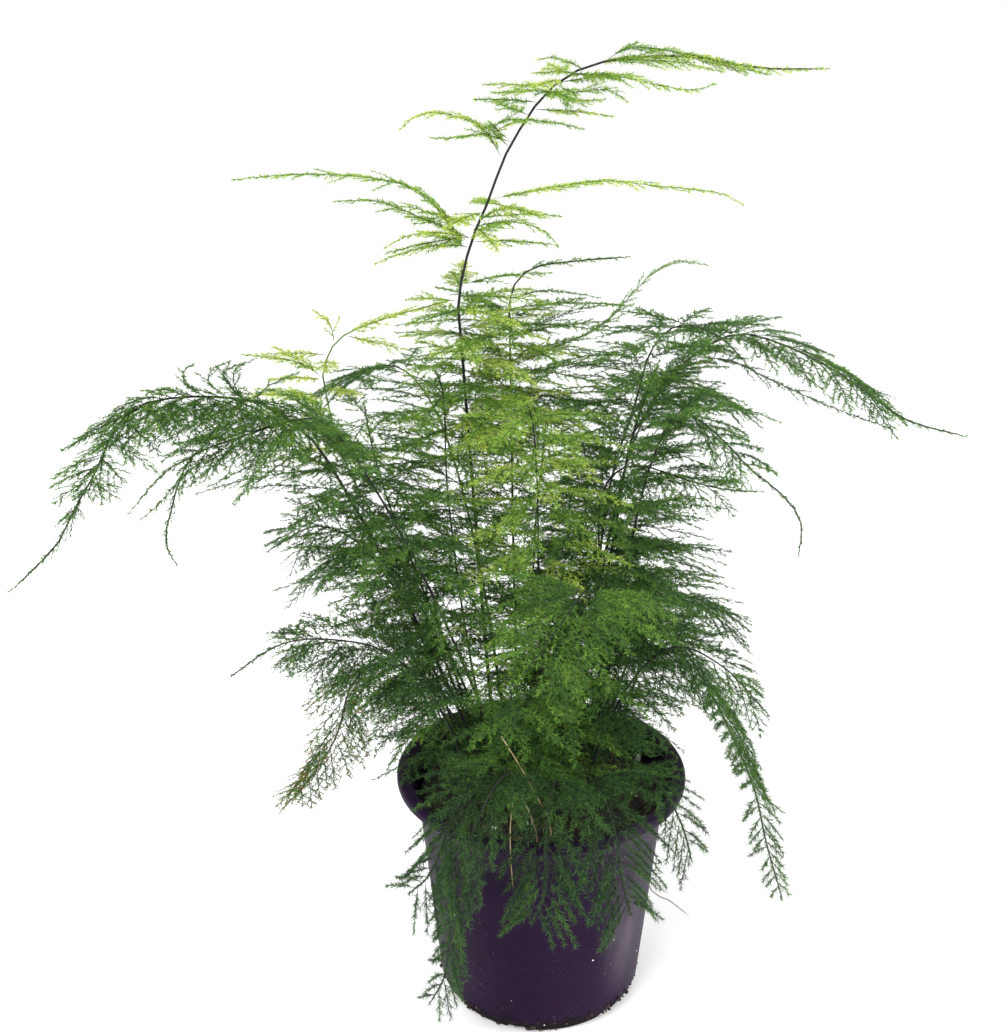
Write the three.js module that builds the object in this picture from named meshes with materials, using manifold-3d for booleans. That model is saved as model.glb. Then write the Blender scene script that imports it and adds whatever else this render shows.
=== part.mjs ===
// A potted asparagus fern: wiry fronds of fine needles in a round nursery pot filled with compost.
// Millimetres, +Z up. The origin is the middle of the pot's foot, and -Y is the plant's front.
import * as THREE from "three";
import { mergeVertices } from "three/addons/utils/BufferGeometryUtils.js";
import Module from "manifold-3d";

const wasm = await Module();
wasm.setup();

// The pot
const POT_HEIGHT = 113;
const RIM_R = 65;
const RIM_INNER_R = 57.8;
const COLLAR_R = 57.6;
const COLLAR_Z = 101;
const FOOT_R = 42;
const FLOOR_UNDERSIDE = 2.2;
const FLOOR_TOP = 3.8;
const CENTRE_PAD_R = 12;
const POT_SIDES = 32;
const DRAIN_HOLES = 6;
const DRAIN_HOLE_R = 4;
const DRAIN_RING_R = 25;
const NOTCH_WIDTH = 9;

// The compost
const SOIL_Z = 100;
const SOIL_SIDES = 20;
const SOIL_ROUGHNESS = 1.1;
const SEAT_GAP = 0.3;

// The fronds: how deep they stand in the compost, how thick their parts are, and how far apart and how long
const HOLE_LENGTH = 16;
const STEM_SIDES = 4;
const RIB_SIDES = 3;
const RIB_R = 0.66;
const RIB_TIP_R = 0.42;
const ROOT_R = 0.3;
const SPIKE_R = 0.3;
const RIB_STEP = 18;
const COLLAR_LENGTH = 1.1;
const NEEDLE_LENGTH = 6.5;
const BRANCHLET_ANGLE = 48;
const NEEDLE_ANGLE = 52;

// How far a rib stays from every other one, and the turns it tries to get there, in degrees
const RIB_CLEARANCE = 2.8;
const SPIKE_CLEARANCE = 0.35;
const RIB_TURNS = [
  [0, 0], [6, 0], [-6, 0], [0, 6], [0, -6], [12, 0], [-12, 0], [0, 12], [6, 8], [-6, 8], [0, -12],
  [18, 0], [-18, 0], [18, 8], [-18, 8], [0, 20], [26, 4], [-26, 4],
];
const RIB_SHORTENINGS = [1, 0.8, 0.6];
const SPIKE_TURNS = [[0, 0], [8, 0], [-8, 0], [0, 14], [0, -14], [14, 10], [-14, 10]];
const SPIKE_SHORTENINGS = [1, 0.7, 0.45];

const UP = new THREE.Vector3(0, 0, 1);
const v3 = (x, y, z) => new THREE.Vector3(x, y, z);

// Groups of ribs on a stem. A whorl stands all round the stem between two shares of its length, a comb
// alternates to either side of it, in the direction `side` if it has one, and a single rib follows its own
// points. bl is the longest branchlet.
const whorl = (a, b, n, l0, l1, lift, sag, bl, az0 = 0, az1 = 360) =>
  ({ kind: "whorl", a, b, n, l0, l1, lift, sag, bl, az0, az1 });
const comb = (a, b, n, l0, l1, spread, lift, sag, bl, side = null) =>
  ({ kind: "comb", a, b, n, l0, l1, spread, lift, sag, bl, side });
const single = (bl, ...points) => ({ kind: "single", bl, points });

// A group counts all its ribs, and every eleventh of them stands in the solid
const KEPT_RIBS = 11;

// Each frond: name, colour slot, stem radius at foot and tip, where along the stem its tip spray begins,
// the tip's longest branchlet, the stem's route, and its groups of ribs.
const FRONDS = [
  {
    name: "frond_leader", slot: "fresh", r: [1.5, 0.6], tipFrom: 0.8, tipBl: 13,
    route: [
      [-19, 8, 88], [-20, 8, 108], [-25, 6, 174], [-29, 5, 234], [-34, 5, 307], [-35, 5, 328],
      [-30, 8, 350], [-22, 9, 369], [-16, 10, 385], [0, 10, 409], [20, 10, 420], [51, 6, 423],
      [81, 2, 419], [107, 0, 419],
    ],
    groups: [
      single(12, [22, 10, 421], [32, 9, 426], [45, 7, 425], [58, 4, 423], [71, 1, 421]),
      single(11, [22, 10, 421], [35, 3, 422], [52, 0, 421], [67, -3, 418]),
      single(9, [54, 5, 422], [70, 8, 419], [86, 6, 416]),
      single(10, [11, 10, 414], [20, 2, 417], [35, -4, 415], [54, -8, 412], [63, -10, 415]),
      single(8, [15, 10, 414], [7, 8, 417], [0, 6, 417], [-6, 4, 417]),
      single(5, [17, 10, 416], [9, 10, 420], [2, 10, 422], [-4, 10, 421]),
      single(12, [7, 10, 408], [-3, 6, 410], [-12, 2, 410], [-21, 0, 410]),
      single(12, [7, 10, 408], [17, 8, 410], [25, 5, 410], [31, 3, 406]),
      single(9, [5, 10, 406], [12, 0, 407], [22, -4, 408]),
      single(12, [-18, 9, 383], [-23, 7, 394], [-31, 6, 399], [-41, 4, 402], [-51, 2, 401],
        [-57, 0, 396]),
      single(11, [-23, 7, 394], [-18, 3, 399], [-9, 0, 400], [3, -2, 399], [14, -4, 397]),
      single(9, [-23, 7, 394], [-33, 2, 393], [-45, 0, 393]),
      single(9, [-22, 7, 393], [-15, 8, 397], [-6, 8, 399]),
      single(12, [-21, 9, 367], [-9, 5, 371], [7, 0, 375], [24, -5, 378], [40, -8, 376], [59, -10, 375],
        [70, -11, 373], [76, -11, 369]),
      single(15, [-32, 7, 346], [-42, 5, 364], [-58, 0, 376], [-92, -4, 380], [-122, -6, 378]),
      single(11, [-34, 7, 354], [-50, 5, 361], [-66, 3, 368], [-84, 2, 368]),
      single(9, [-29, 8, 357], [-22, 4, 363], [-14, 0, 366], [-5, -3, 364]),
      single(9, [-29, 8, 357], [-20, 0, 360], [-10, -4, 361], [-1, -6, 358], [5, -8, 352]),
      single(9, [-29, 8, 357], [-36, 2, 361], [-46, 0, 364], [-55, -2, 367], [-67, -4, 365]),
      single(8, [-30, 8, 353], [-42, 0, 356], [-54, -4, 356], [-64, -6, 351]),
      single(8, [-31, 8, 349], [-44, 0, 351], [-56, -4, 349], [-68, -6, 345]),
      whorl(0.72, 0.78, 10, 30, 24, 5, 0.06, 9),
      whorl(0.59, 0.64, 10, 38, 30, 4, 0.12, 10),
      whorl(0.4, 0.56, 15, 32, 26, 8, 0.14, 11, 100, 260),
      whorl(0.4, 0.56, 29, 54, 46, 8, 0.14, 12, -90, 90),
    ],
  },
  {
    name: "frond_centre_back", slot: "leaf", r: [1.3, 0.5], tipFrom: 0.86, tipBl: 9,
    route: [
      [-9, 20, 88], [-10, 20, 108], [-12, 20, 186], [-13, 18, 235], [-14, 15, 298], [-14, 15, 326],
      [-6, 14, 338], [14, 12, 342], [34, 10, 344],
    ],
    groups: [
      single(18, [-14, 15, 296], [3, 16, 304], [24, 17, 313], [41, 20, 332], [54, 20, 340],
        [67, 20, 338]),
      single(14, [-13, 16, 309], [2, 18, 315], [15, 20, 320], [30, 22, 321]),
      single(7, [-14, 15, 325], [-2, 14, 329], [12, 14, 328], [23, 14, 326]),
      whorl(0.56, 0.8, 50, 56, 46, 10, 0.14, 12),
      whorl(0.3, 0.55, 28, 44, 50, 10, 0.2, 12),
    ],
  },
  {
    name: "frond_centre_left", slot: "leaf", r: [1.2, 0.5], tipFrom: 0.9, tipBl: 12,
    route: [
      [-21, -3, 88], [-22, -2, 108], [-34, -5, 189], [-40, -10, 250], [-41, -10, 289], [-44, -13, 304],
    ],
    groups: [
      whorl(0.5, 0.97, 36, 52, 34, 8, 0.2, 12),
    ],
  },
  {
    name: "frond_left_arch", slot: "dark", r: [1.6, 0.5], tipFrom: 0.86, tipBl: 9,
    route: [
      [-22, -15, 88], [-24, -16, 112], [-40, -18, 162], [-67, -22, 226], [-88, -30, 273], [-98, -34, 287],
      [-110, -39, 298], [-126, -46, 303], [-141, -53, 305], [-153, -60, 304], [-162, -66, 296],
      [-168, -71, 283], [-176, -76, 270], [-183, -80, 257], [-192, -83, 248], [-202, -85, 239],
    ],
    groups: [
      single(10, [-116, -43, 300], [-119, -46, 307], [-118, -50, 315], [-110, -48, 319]),
      single(10, [-122, -45, 302], [-128, -50, 310], [-126, -52, 316], [-119, -52, 319]),
      single(9, [-129, -48, 303], [-135, -52, 309], [-137, -54, 315], [-132, -54, 319]),
      single(9, [-134, -51, 303], [-141, -54, 308], [-146, -56, 309], [-151, -58, 308]),
      single(6, [-113, -42, 300], [-108, -36, 304], [-102, -32, 306], [-96, -30, 308]),
      single(10, [-140, -53, 303], [-148, -58, 307], [-156, -62, 306], [-163, -66, 301],
        [-167, -68, 293]),
      single(10, [-116, -43, 300], [-121, -45, 307], [-123, -46, 313], [-115, -44, 316]),
      whorl(0.58, 0.86, 52, 46, 15, -4, 0.24, 12, 190, 350),
      comb(0.6, 0.9, 22, 16, 8, 45, 0.1, 0.1, 8),
      whorl(0.36, 0.57, 31, 46, 50, 5, 0.2, 12),
    ],
  },
  {
    name: "frond_left_young", slot: "young", r: [1.1, 0.5], tipFrom: 0.84, tipBl: 9,
    route: [
      [-26, 14, 88], [-28, 15, 108], [-54, 20, 186], [-84, 25, 246], [-93, 25, 284], [-92, 25, 296],
      [-84, 25, 307], [-62, 20, 317], [-40, 16, 324],
    ],
    groups: [
      single(9, [-93, 25, 288], [-104, 20, 297], [-126, 14, 302]),
      single(6, [-88, 25, 303], [-90, 26, 312], [-97, 26, 318]),
      single(8, [-84, 25, 307], [-70, 18, 306], [-57, 14, 304]),
      single(11, [-92, 25, 276], [-104, 16, 283], [-120, 8, 286], [-134, 4, 277]),
      whorl(0.6, 0.8, 14, 34, 28, 15, 0.1, 7, 120, 330),
    ],
  },
  {
    name: "frond_right_arch", slot: "dark", r: [1.6, 0.5], tipFrom: 0.86, tipBl: 7,
    route: [
      [9, 10, 88], [10, 10, 108], [26, 20, 177], [37, 25, 254], [42, 25, 268], [52, 25, 285],
      [64, 25, 299], [81, 20, 309], [99, 10, 307], [117, 0, 300], [133, -5, 290], [148, -10, 281],
      [173, -10, 274],
    ],
    groups: [
      single(12, [63, 24, 298], [79, 14, 299], [91, 8, 294], [105, 2, 289], [118, -2, 284],
        [143, -6, 276]),
      single(12, [82, 19, 308], [96, 6, 303], [108, 0, 296], [118, -7, 288]),
      comb(0.5, 0.88, 43, 42, 24, 46, 0.06, 0.26, 12),
      whorl(0.3, 0.46, 22, 40, 46, 10, 0.2, 12),
    ],
  },
  {
    name: "frond_right_upper", slot: "dark", r: [1.3, 0.5], tipFrom: 0.86, tipBl: 10,
    route: [
      [15, 4, 88], [16, 4, 108], [22, 8, 180], [28, 6, 245], [38, 3, 286], [42, 0, 305], [49, -6, 318],
      [58, -14, 322], [70, -22, 318], [80, -28, 308],
    ],
    groups: [
      single(14, [42, 0, 304], [24, -6, 308], [6, -10, 306], [-6, -12, 298]),
      whorl(0.7, 0.9, 29, 38, 30, 8, 0.15, 12),
      whorl(0.3, 0.55, 22, 40, 46, 10, 0.2, 12),
    ],
  },
  {
    name: "frond_right_drooping", slot: "dark", r: [1.3, 0.5], tipFrom: 0.72, tipBl: 7,
    route: [
      [20, -4, 88], [21, -5, 108], [31, -14, 190], [39, -20, 250], [44, -26, 274], [49, -30, 288],
      [56, -33, 292], [70, -40, 282], [79, -44, 273], [90, -47, 265], [98, -49, 256], [100, -50, 248],
      [99, -50, 238],
    ],
    groups: [
      single(9, [59, -34, 292], [69, -38, 297], [80, -40, 295], [91, -42, 291]),
      single(10, [44, -26, 274], [47, -30, 283], [54, -36, 288], [61, -40, 288]),
      comb(0.62, 0.84, 25, 38, 16, 55, 0.12, 0.2, 11),
      whorl(0.3, 0.5, 22, 44, 40, 8, 0.2, 12),
    ],
  },
  {
    name: "frond_front_centre", slot: "fresh", r: [1.2, 0.5], tipFrom: 0.93, tipBl: 12,
    route: [
      [0, -8, 88], [0, -9, 108], [-2, -18, 190], [-3, -26, 250], [-5, -32, 285], [-8, -38, 298],
    ],
    groups: [
      whorl(0.62, 0.98, 43, 46, 33, 6, 0.18, 13),
      whorl(0.14, 0.55, 25, 36, 48, 12, 0.3, 12),
    ],
  },
  {
    name: "frond_front_bright", slot: "leaf", r: [1.1, 0.5], tipFrom: 0.8, tipBl: 14,
    route: [
      [6, -20, 88], [7, -21, 108], [12, -30, 170], [16, -45, 215], [14, -62, 228], [4, -80, 222],
      [-12, -92, 204],
    ],
    groups: [
      comb(0.55, 0.92, 31, 52, 24, 55, 0.02, 0.3, 12),
      whorl(0.15, 0.48, 20, 34, 42, 15, 0.35, 11),
    ],
  },
  {
    name: "frond_right_low_front", slot: "dark", r: [1.2, 0.5], tipFrom: 0.82, tipBl: 13,
    route: [
      [17, -14, 88], [18, -15, 108], [34, -26, 164], [52, -38, 192], [72, -46, 188], [92, -52, 168],
    ],
    groups: [
      comb(0.35, 0.92, 29, 42, 18, 55, 0.03, 0.28, 12, [0.3, -0.85, -0.4]),
    ],
  },
  {
    name: "frond_right_middle", slot: "dark", r: [1.3, 0.5], tipFrom: 0.82, tipBl: 8,
    route: [
      [24, 4, 88], [25, 4, 108], [26, 2, 180], [23, -8, 240], [29, -14, 260], [40, -20, 265],
      [58, -26, 261], [73, -28, 258], [88, -30, 258],
    ],
    groups: [
      single(9, [28, -14, 260], [12, -20, 260], [0, -26, 257], [-10, -30, 254]),
      comb(0.66, 0.92, 22, 40, 18, 55, 0.03, 0.2, 11, [0.1, -0.95, -0.25]),
      whorl(0.25, 0.72, 50, 54, 48, 6, 0.2, 12),
      whorl(0.36, 0.64, 26, 60, 56, 4, 0.2, 12, -65, 35),
    ],
  },
  {
    name: "frond_right_trailing", slot: "leaf", r: [1.2, 0.5], tipFrom: 0.5, tipBl: 6,
    route: [
      [28, -8, 88], [30, -8, 108], [38, -7, 150], [47, -5, 178], [58, -3, 178], [72, -1, 156],
      [84, 0, 132], [97, 0, 101], [104, 0, 73], [114, 0, 40],
    ],
    groups: [
      comb(0.3, 0.74, 40, 42, 20, 58, 0.02, 0.16, 7, [0.2, -0.95, 0.3]),
      comb(0.75, 0.97, 20, 16, 8, 40, 0.02, 0.12, 5, [0.7, -0.5, 0.5]),
    ],
  },
  {
    name: "frond_left_upper", slot: "dark", r: [1.2, 0.5], tipFrom: 0.82, tipBl: 13,
    route: [
      [-30, -6, 88], [-32, -6, 108], [-51, -8, 178], [-73, -11, 222], [-93, -18, 238], [-114, -26, 230],
    ],
    groups: [
      comb(0.35, 0.92, 36, 50, 24, 55, -0.03, 0.25, 12, [-0.1, -0.95, -0.25]),
    ],
  },
  {
    name: "frond_left_centre", slot: "dark", r: [1.2, 0.5], tipFrom: 0.8, tipBl: 9,
    route: [
      [-12, -9, 88], [-13, -11, 108], [-34, -28, 180], [-54, -38, 235], [-76, -42, 279], [-88, -46, 294],
      [-101, -50, 294], [-113, -54, 291], [-125, -58, 288], [-134, -62, 285], [-139, -66, 276],
      [-142, -69, 266], [-145, -71, 254], [-141, -72, 244],
    ],
    groups: [
      single(6, [-130, -60, 286], [-142, -64, 281], [-150, -68, 274], [-158, -72, 265]),
      single(6, [-138, -65, 278], [-147, -70, 268], [-154, -73, 263]),
      single(7, [-116, -55, 290], [-124, -62, 283], [-134, -68, 276]),
      single(8, [-98, -50, 294], [-109, -56, 282], [-119, -60, 277], [-129, -64, 273]),
      comb(0.6, 0.86, 29, 40, 20, 55, 0.04, 0.22, 11),
      whorl(0.3, 0.58, 29, 44, 48, 5, 0.2, 12),
    ],
  },
  {
    name: "frond_left_middle", slot: "dark", r: [1.2, 0.5], tipFrom: 0.75, tipBl: 10,
    route: [
      [-26, -22, 88], [-28, -23, 108], [-43, -34, 160], [-63, -44, 192], [-88, -50, 202],
      [-108, -52, 200], [-128, -53, 186],
    ],
    groups: [
      comb(0.4, 0.84, 40, 54, 12, 55, 0, 0.28, 12, [-0.2, -0.9, -0.35]),
      whorl(0.5, 0.8, 16, 38, 28, 0, 0.2, 10, 150, 330),
    ],
  },
  {
    name: "frond_left_drooping", slot: "leaf", r: [1, 0.5], tipFrom: 0.8, tipBl: 8,
    route: [
      [-17, -19, 88], [-19, -20, 108], [-42, -24, 158], [-66, -29, 180], [-80, -36, 174], [-87, -41, 152],
      [-99, -44, 133], [-113, -44, 116],
    ],
    groups: [
      comb(0.42, 0.92, 36, 44, 14, 50, 0, 0.24, 11, [-0.5, -0.7, 0.3]),
    ],
  },
  {
    name: "frond_front_trailing_left", slot: "leaf", r: [1, 0.5], tipFrom: 0.5, tipBl: 5,
    route: [
      [-14, -28, 88], [-15, -30, 108], [-22, -48, 138], [-30, -66, 144], [-39, -76, 130], [-47, -76, 108],
      [-57, -68, 92],
    ],
    groups: [
      comb(0.3, 0.96, 32, 36, 18, 42, 0, 0.3, 6),
    ],
  },
  {
    name: "frond_front_trailing_long", slot: "leaf", r: [1.1, 0.5], tipFrom: 0.5, tipBl: 5,
    route: [
      [-5, -30, 88], [-6, -32, 108], [-12, -54, 142], [-20, -71, 147], [-28, -80, 134], [-34, -80, 116],
      [-38, -78, 95], [-40, -74, 74], [-42, -70, 52], [-49, -66, 34],
    ],
    groups: [
      comb(0.3, 0.97, 40, 30, 12, 38, 0, 0.24, 6),
    ],
  },
  {
    name: "frond_front_trailing_middle", slot: "leaf", r: [1, 0.5], tipFrom: 0.5, tipBl: 5,
    route: [
      [4, -30, 88], [5, -32, 108], [5, -54, 138], [2, -72, 142], [0, -81, 126], [0, -81, 104],
      [-5, -77, 84],
    ],
    groups: [
      comb(0.28, 0.96, 34, 38, 18, 42, 0, 0.3, 6),
    ],
  },
  {
    name: "frond_front_trailing_right", slot: "leaf", r: [1, 0.5], tipFrom: 0.5, tipBl: 5,
    route: [
      [13, -27, 88], [14, -29, 108], [19, -50, 136], [24, -69, 140], [29, -78, 124], [32, -78, 104],
      [36, -74, 86],
    ],
    groups: [
      comb(0.28, 0.96, 34, 38, 18, 42, 0, 0.3, 6),
    ],
  },
  {
    name: "frond_front_trailing_side", slot: "leaf", r: [1, 0.5], tipFrom: 0.5, tipBl: 5,
    route: [
      [23, -20, 88], [25, -22, 108], [36, -42, 134], [48, -57, 138], [57, -62, 122], [62, -62, 104],
    ],
    groups: [
      comb(0.3, 0.95, 22, 28, 14, 42, 0, 0.26, 6),
    ],
  },
  {
    name: "frond_right_centre", slot: "dark", r: [1.2, 0.5], tipFrom: 0.9, tipBl: 10,
    route: [
      [12, -10, 88], [13, -11, 108], [20, -8, 180], [30, -6, 240], [38, -6, 280], [46, -8, 306],
    ],
    groups: [
      whorl(0.76, 0.98, 29, 50, 36, 8, 0.16, 12),
    ],
  },
  {
    name: "frond_left_level", slot: "leaf", r: [1.2, 0.5], tipFrom: 0.9, tipBl: 10,
    route: [
      [-16, 2, 88], [-18, 2, 108], [-44, 0, 180], [-62, -2, 232], [-70, -4, 262], [-74, -6, 288],
    ],
    groups: [
      whorl(0.5, 0.98, 57, 46, 36, 6, 0.16, 12),
    ],
  },
  {
    name: "frond_core_front", slot: "leaf", r: [1, 0.5], tipFrom: 0.85, tipBl: 12,
    route: [
      [-8, -17, 88], [-9, -19, 108], [-12, -38, 150], [-14, -54, 182],
    ],
    groups: [
      whorl(0.25, 0.95, 34, 42, 30, 12, 0.3, 11),
    ],
  },
  {
    name: "frond_core_right", slot: "dark", r: [1, 0.5], tipFrom: 0.85, tipBl: 12,
    route: [
      [13, -5, 88], [14, -7, 108], [26, -14, 160], [42, -20, 222],
    ],
    groups: [
      whorl(0.35, 0.97, 43, 46, 34, 8, 0.24, 12),
    ],
  },
  {
    name: "frond_core_left", slot: "dark", r: [1, 0.5], tipFrom: 0.85, tipBl: 12,
    route: [
      [-35, 3, 88], [-37, 3, 108], [-50, 4, 150], [-62, 4, 178],
    ],
    groups: [
      whorl(0.25, 0.95, 40, 42, 28, 12, 0.3, 11),
    ],
  },
  {
    name: "frond_core_middle", slot: "dark", r: [1, 0.5], tipFrom: 0.9, tipBl: 12,
    route: [
      [0, 4, 88], [0, 4, 108], [2, 0, 160], [4, -5, 215],
    ],
    groups: [
      whorl(0.26, 0.97, 52, 46, 34, 10, 0.2, 12),
    ],
  },
  {
    name: "frond_core_back", slot: "dark", r: [1, 0.5], tipFrom: 0.9, tipBl: 12,
    route: [
      [4, 19, 88], [4, 21, 108], [8, 33, 160], [12, 43, 205],
    ],
    groups: [
      whorl(0.35, 0.97, 25, 46, 34, 10, 0.2, 12),
    ],
  },
  {
    name: "frond_back_arch_left", slot: "dark", r: [1.4, 0.5], tipFrom: 0.82, tipBl: 13,
    route: [
      [-14, 26, 88], [-15, 28, 108], [-28, 50, 190], [-45, 72, 250], [-65, 92, 272], [-88, 108, 262],
      [-108, 120, 240],
    ],
    groups: [
      comb(0.4, 0.92, 34, 56, 24, 55, 0.08, 0.25, 12),
    ],
  },
  {
    name: "frond_back_arch_right", slot: "dark", r: [1.4, 0.5], tipFrom: 0.82, tipBl: 13,
    route: [
      [14, 24, 88], [15, 26, 108], [27, 48, 180], [42, 70, 240], [60, 88, 262], [82, 104, 255],
      [100, 115, 235],
    ],
    groups: [
      comb(0.4, 0.92, 34, 56, 24, 55, 0.08, 0.25, 12),
    ],
  },
  {
    name: "frond_back_centre", slot: "leaf", r: [1.3, 0.5], tipFrom: 0.82, tipBl: 13,
    route: [
      [-4, 31, 88], [-4, 33, 108], [-3, 56, 190], [2, 80, 240], [4, 100, 252], [6, 120, 240],
      [8, 134, 216],
    ],
    groups: [
      comb(0.4, 0.92, 34, 54, 24, 55, 0.06, 0.25, 12),
    ],
  },
  {
    name: "frond_back_low_left", slot: "dark", r: [1.2, 0.5], tipFrom: 0.8, tipBl: 13,
    route: [
      [-27, 24, 88], [-29, 26, 108], [-50, 58, 160], [-74, 82, 185], [-97, 98, 172], [-113, 108, 146],
    ],
    groups: [
      comb(0.35, 0.92, 28, 48, 22, 55, 0.04, 0.25, 12),
    ],
  },
  {
    name: "frond_back_low_right", slot: "dark", r: [1.2, 0.5], tipFrom: 0.8, tipBl: 13,
    route: [
      [25, 18, 88], [27, 20, 108], [44, 48, 148], [62, 72, 164], [80, 88, 152], [94, 98, 128],
    ],
    groups: [
      comb(0.35, 0.92, 28, 48, 22, 55, 0.04, 0.25, 12),
    ],
  },
  {
    name: "frond_back_trailing", slot: "leaf", r: [1.1, 0.5], tipFrom: 0.8, tipBl: 12,
    route: [
      [7, 34, 88], [8, 36, 108], [14, 58, 140], [18, 76, 142], [20, 85, 122], [20, 84, 92], [16, 78, 62],
    ],
    groups: [
      comb(0.38, 0.92, 28, 32, 16, 50, 0, 0.2, 9),
    ],
  },
];

// Dead stems that carry no needles: name, colour slot, radius at foot and tip, and route.
const DRY_STEMS = [
  {
    name: "dry_stalk_front", slot: "straw", r: [0.9, 0.6],
    route: [[4, -36, 88], [3, -38, 107], [-2, -46, 124], [-9, -50, 141], [-18, -54, 160]],
  },
  {
    name: "dry_stalk_over_rim", slot: "straw", r: [0.8, 0.5],
    route: [
      [-2, -42, 88], [-3, -45, 107], [-8, -58, 130], [-12, -67, 140], [-14, -75, 133], [-14, -78, 118],
      [-13, -79, 103],
    ],
  },
  {
    name: "dry_twig_right", slot: "brown", r: [1, 0.5],
    route: [
      [33, 20, 88], [34, 22, 106], [38, 40, 122], [41, 56, 124], [42, 60, 108], [41, 55, 78], [46, 42, 50],
      [54, 27, 29], [64, 21, 25], [74, 19, 17],
    ],
  },
];

const COLOURS = {
  pot: { color: 0x2c2433, roughness: 0.5 },
  soil: { color: 0x1c1613, roughness: 1 },
  dark: { color: 0x2f5a34, roughness: 0.65 },
  leaf: { color: 0x45732f, roughness: 0.65 },
  fresh: { color: 0x6c9a34, roughness: 0.6 },
  young: { color: 0x97b148, roughness: 0.6 },
  straw: { color: 0xc3ad82, roughness: 0.8 },
  brown: { color: 0x6a4526, roughness: 0.8 },
};

// A repeatable draw between 0 and 1 for three whole numbers
function draw(a, b, c) {
  const v = Math.sin(a * 12.9898 + b * 78.233 + c * 37.719) * 43758.5453;
  return v - Math.floor(v);
}

const lerp = (a, b, t) => a + (b - a) * t;
const toRad = THREE.MathUtils.degToRad;

// A route with its length measured, so that points are found by their share of it
class Route {
  constructor(points) {
    this.points = points;
    this.sums = [0];
    for (let i = 1; i < points.length; i += 1) {
      this.sums.push(this.sums[i - 1] + points[i].distanceTo(points[i - 1]));
    }
    this.length = this.sums[points.length - 1];
  }

  at(share) {
    const s = THREE.MathUtils.clamp(share, 0, 1) * this.length;
    let i = this.sums.length - 2;
    while (i > 0 && this.sums[i] > s) i -= 1;
    const w = (s - this.sums[i]) / (this.sums[i + 1] - this.sums[i]);
    return this.points[i].clone().lerp(this.points[i + 1], w);
  }

  tangent(share) {
    return this.at(share + 0.01).sub(this.at(share - 0.01)).normalize();
  }

  nearest(point) {
    let best = this.points[0];
    for (const p of this.points) {
      if (p.distanceTo(point) < best.distanceTo(point)) best = p;
    }
    return best.clone();
  }
}

function smooth(points, steps) {
  const curve = new THREE.CatmullRomCurve3(points.map((p) => v3(...p)), false, "catmullrom", 0.5);
  return curve.getPoints(steps);
}

// The pot's outside, from the foot up, as radius and height. The Lathe profile and the foliage that hangs
// beside the pot both use it.
const POT_OUTSIDE = [
  [FOOT_R, 0],
  [46.2, 7],
  [54.5, 90],
  [COLLAR_R, COLLAR_Z],
  [61.8, 106.4],
  [RIM_R, 108.6],
  [RIM_R, 111.4],
];

function potRadius(z) {
  let i = 0;
  while (i < POT_OUTSIDE.length - 2 && POT_OUTSIDE[i + 1][1] < z) i += 1;
  const [r0, z0] = POT_OUTSIDE[i];
  const [r1, z1] = POT_OUTSIDE[i + 1];
  return lerp(r0, r1, THREE.MathUtils.clamp((z - z0) / (z1 - z0), 0, 1));
}

// True where a point lies in the pot's wall, its rim or the compost, or closer to them than the gap
function meetsPot(p, gap) {
  const r = Math.hypot(p.x, p.y);
  const wall = p.z < POT_HEIGHT + gap && r < potRadius(p.z) + gap && r > RIM_INNER_R - 1.3 - gap;
  const compost = p.z < SOIL_Z + SOIL_ROUGHNESS + gap && r <= RIM_INNER_R - 0.8;
  return wall || compost;
}

// The least distance between two straight pieces
function gapBetween(p, q, a, b) {
  const d1 = v3().subVectors(q, p);
  const d2 = v3().subVectors(b, a);
  const r = v3().subVectors(p, a);
  const l1 = d1.dot(d1);
  const l2 = Math.max(d2.dot(d2), 1e-9);
  const f = d2.dot(r);
  const c = d1.dot(r);
  const k = d1.dot(d2);
  const area = l1 * l2 - k * k;
  const limit = (x) => THREE.MathUtils.clamp(x, 0, 1);
  let s = area > 1e-9 ? limit((k * f - c * l2) / area) : 0;
  let t = (k * s + f) / l2;
  if (t < 0) s = limit(-c / l1);
  if (t > 1) s = limit((k - c) / l1);
  t = limit(t);
  return r.addScaledVector(d1, s).addScaledVector(d2, -t).length();
}

// Every straight piece placed so far, with the frond it belongs to, its own route's number and its radius
const placed = [];
const STEM_ROUTE = -1;

function place(points, owner, route, radius) {
  for (let i = 1; i < points.length; i += 1) {
    placed.push({ a: points[i - 1], b: points[i], owner, route, radius });
  }
}

function isNear(box, piece, reach) {
  const { a, b } = piece;
  return (
    Math.min(a.x, b.x) < box.max.x + reach && Math.max(a.x, b.x) > box.min.x - reach &&
    Math.min(a.y, b.y) < box.max.y + reach && Math.max(a.y, b.y) > box.min.y - reach &&
    Math.min(a.z, b.z) < box.max.z + reach && Math.max(a.z, b.z) > box.min.z - reach
  );
}

// Whether a rib keeps clear of all that is placed. Close to its root it may meet its own frond.
function ribIsClear(points, owner) {
  const box = new THREE.Box3().setFromPoints(points);
  const close = placed.filter((piece) => isNear(box, piece, RIB_CLEARANCE));
  for (let i = 1; i < points.length; i += 1) {
    const from = i === 1 ? points[0].clone().lerp(points[1], 0.6) : points[i - 1];
    for (const piece of close) {
      if (i <= 2 && piece.owner === owner) continue;
      if (gapBetween(from, points[i], piece.a, piece.b) < RIB_CLEARANCE) return false;
    }
  }
  return true;
}

const RIB_PIECES = 8;

// A rib that leaves its stem in one direction and sags under its own weight
function bentRib(root, direction, length, sag) {
  const points = [];
  for (let i = 0; i <= RIB_PIECES; i += 1) {
    const t = i / RIB_PIECES;
    const straight = root.clone().addScaledVector(direction, length * t);
    points.push(straight.addScaledVector(UP, -length * sag * t * t));
  }
  return points;
}

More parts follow.
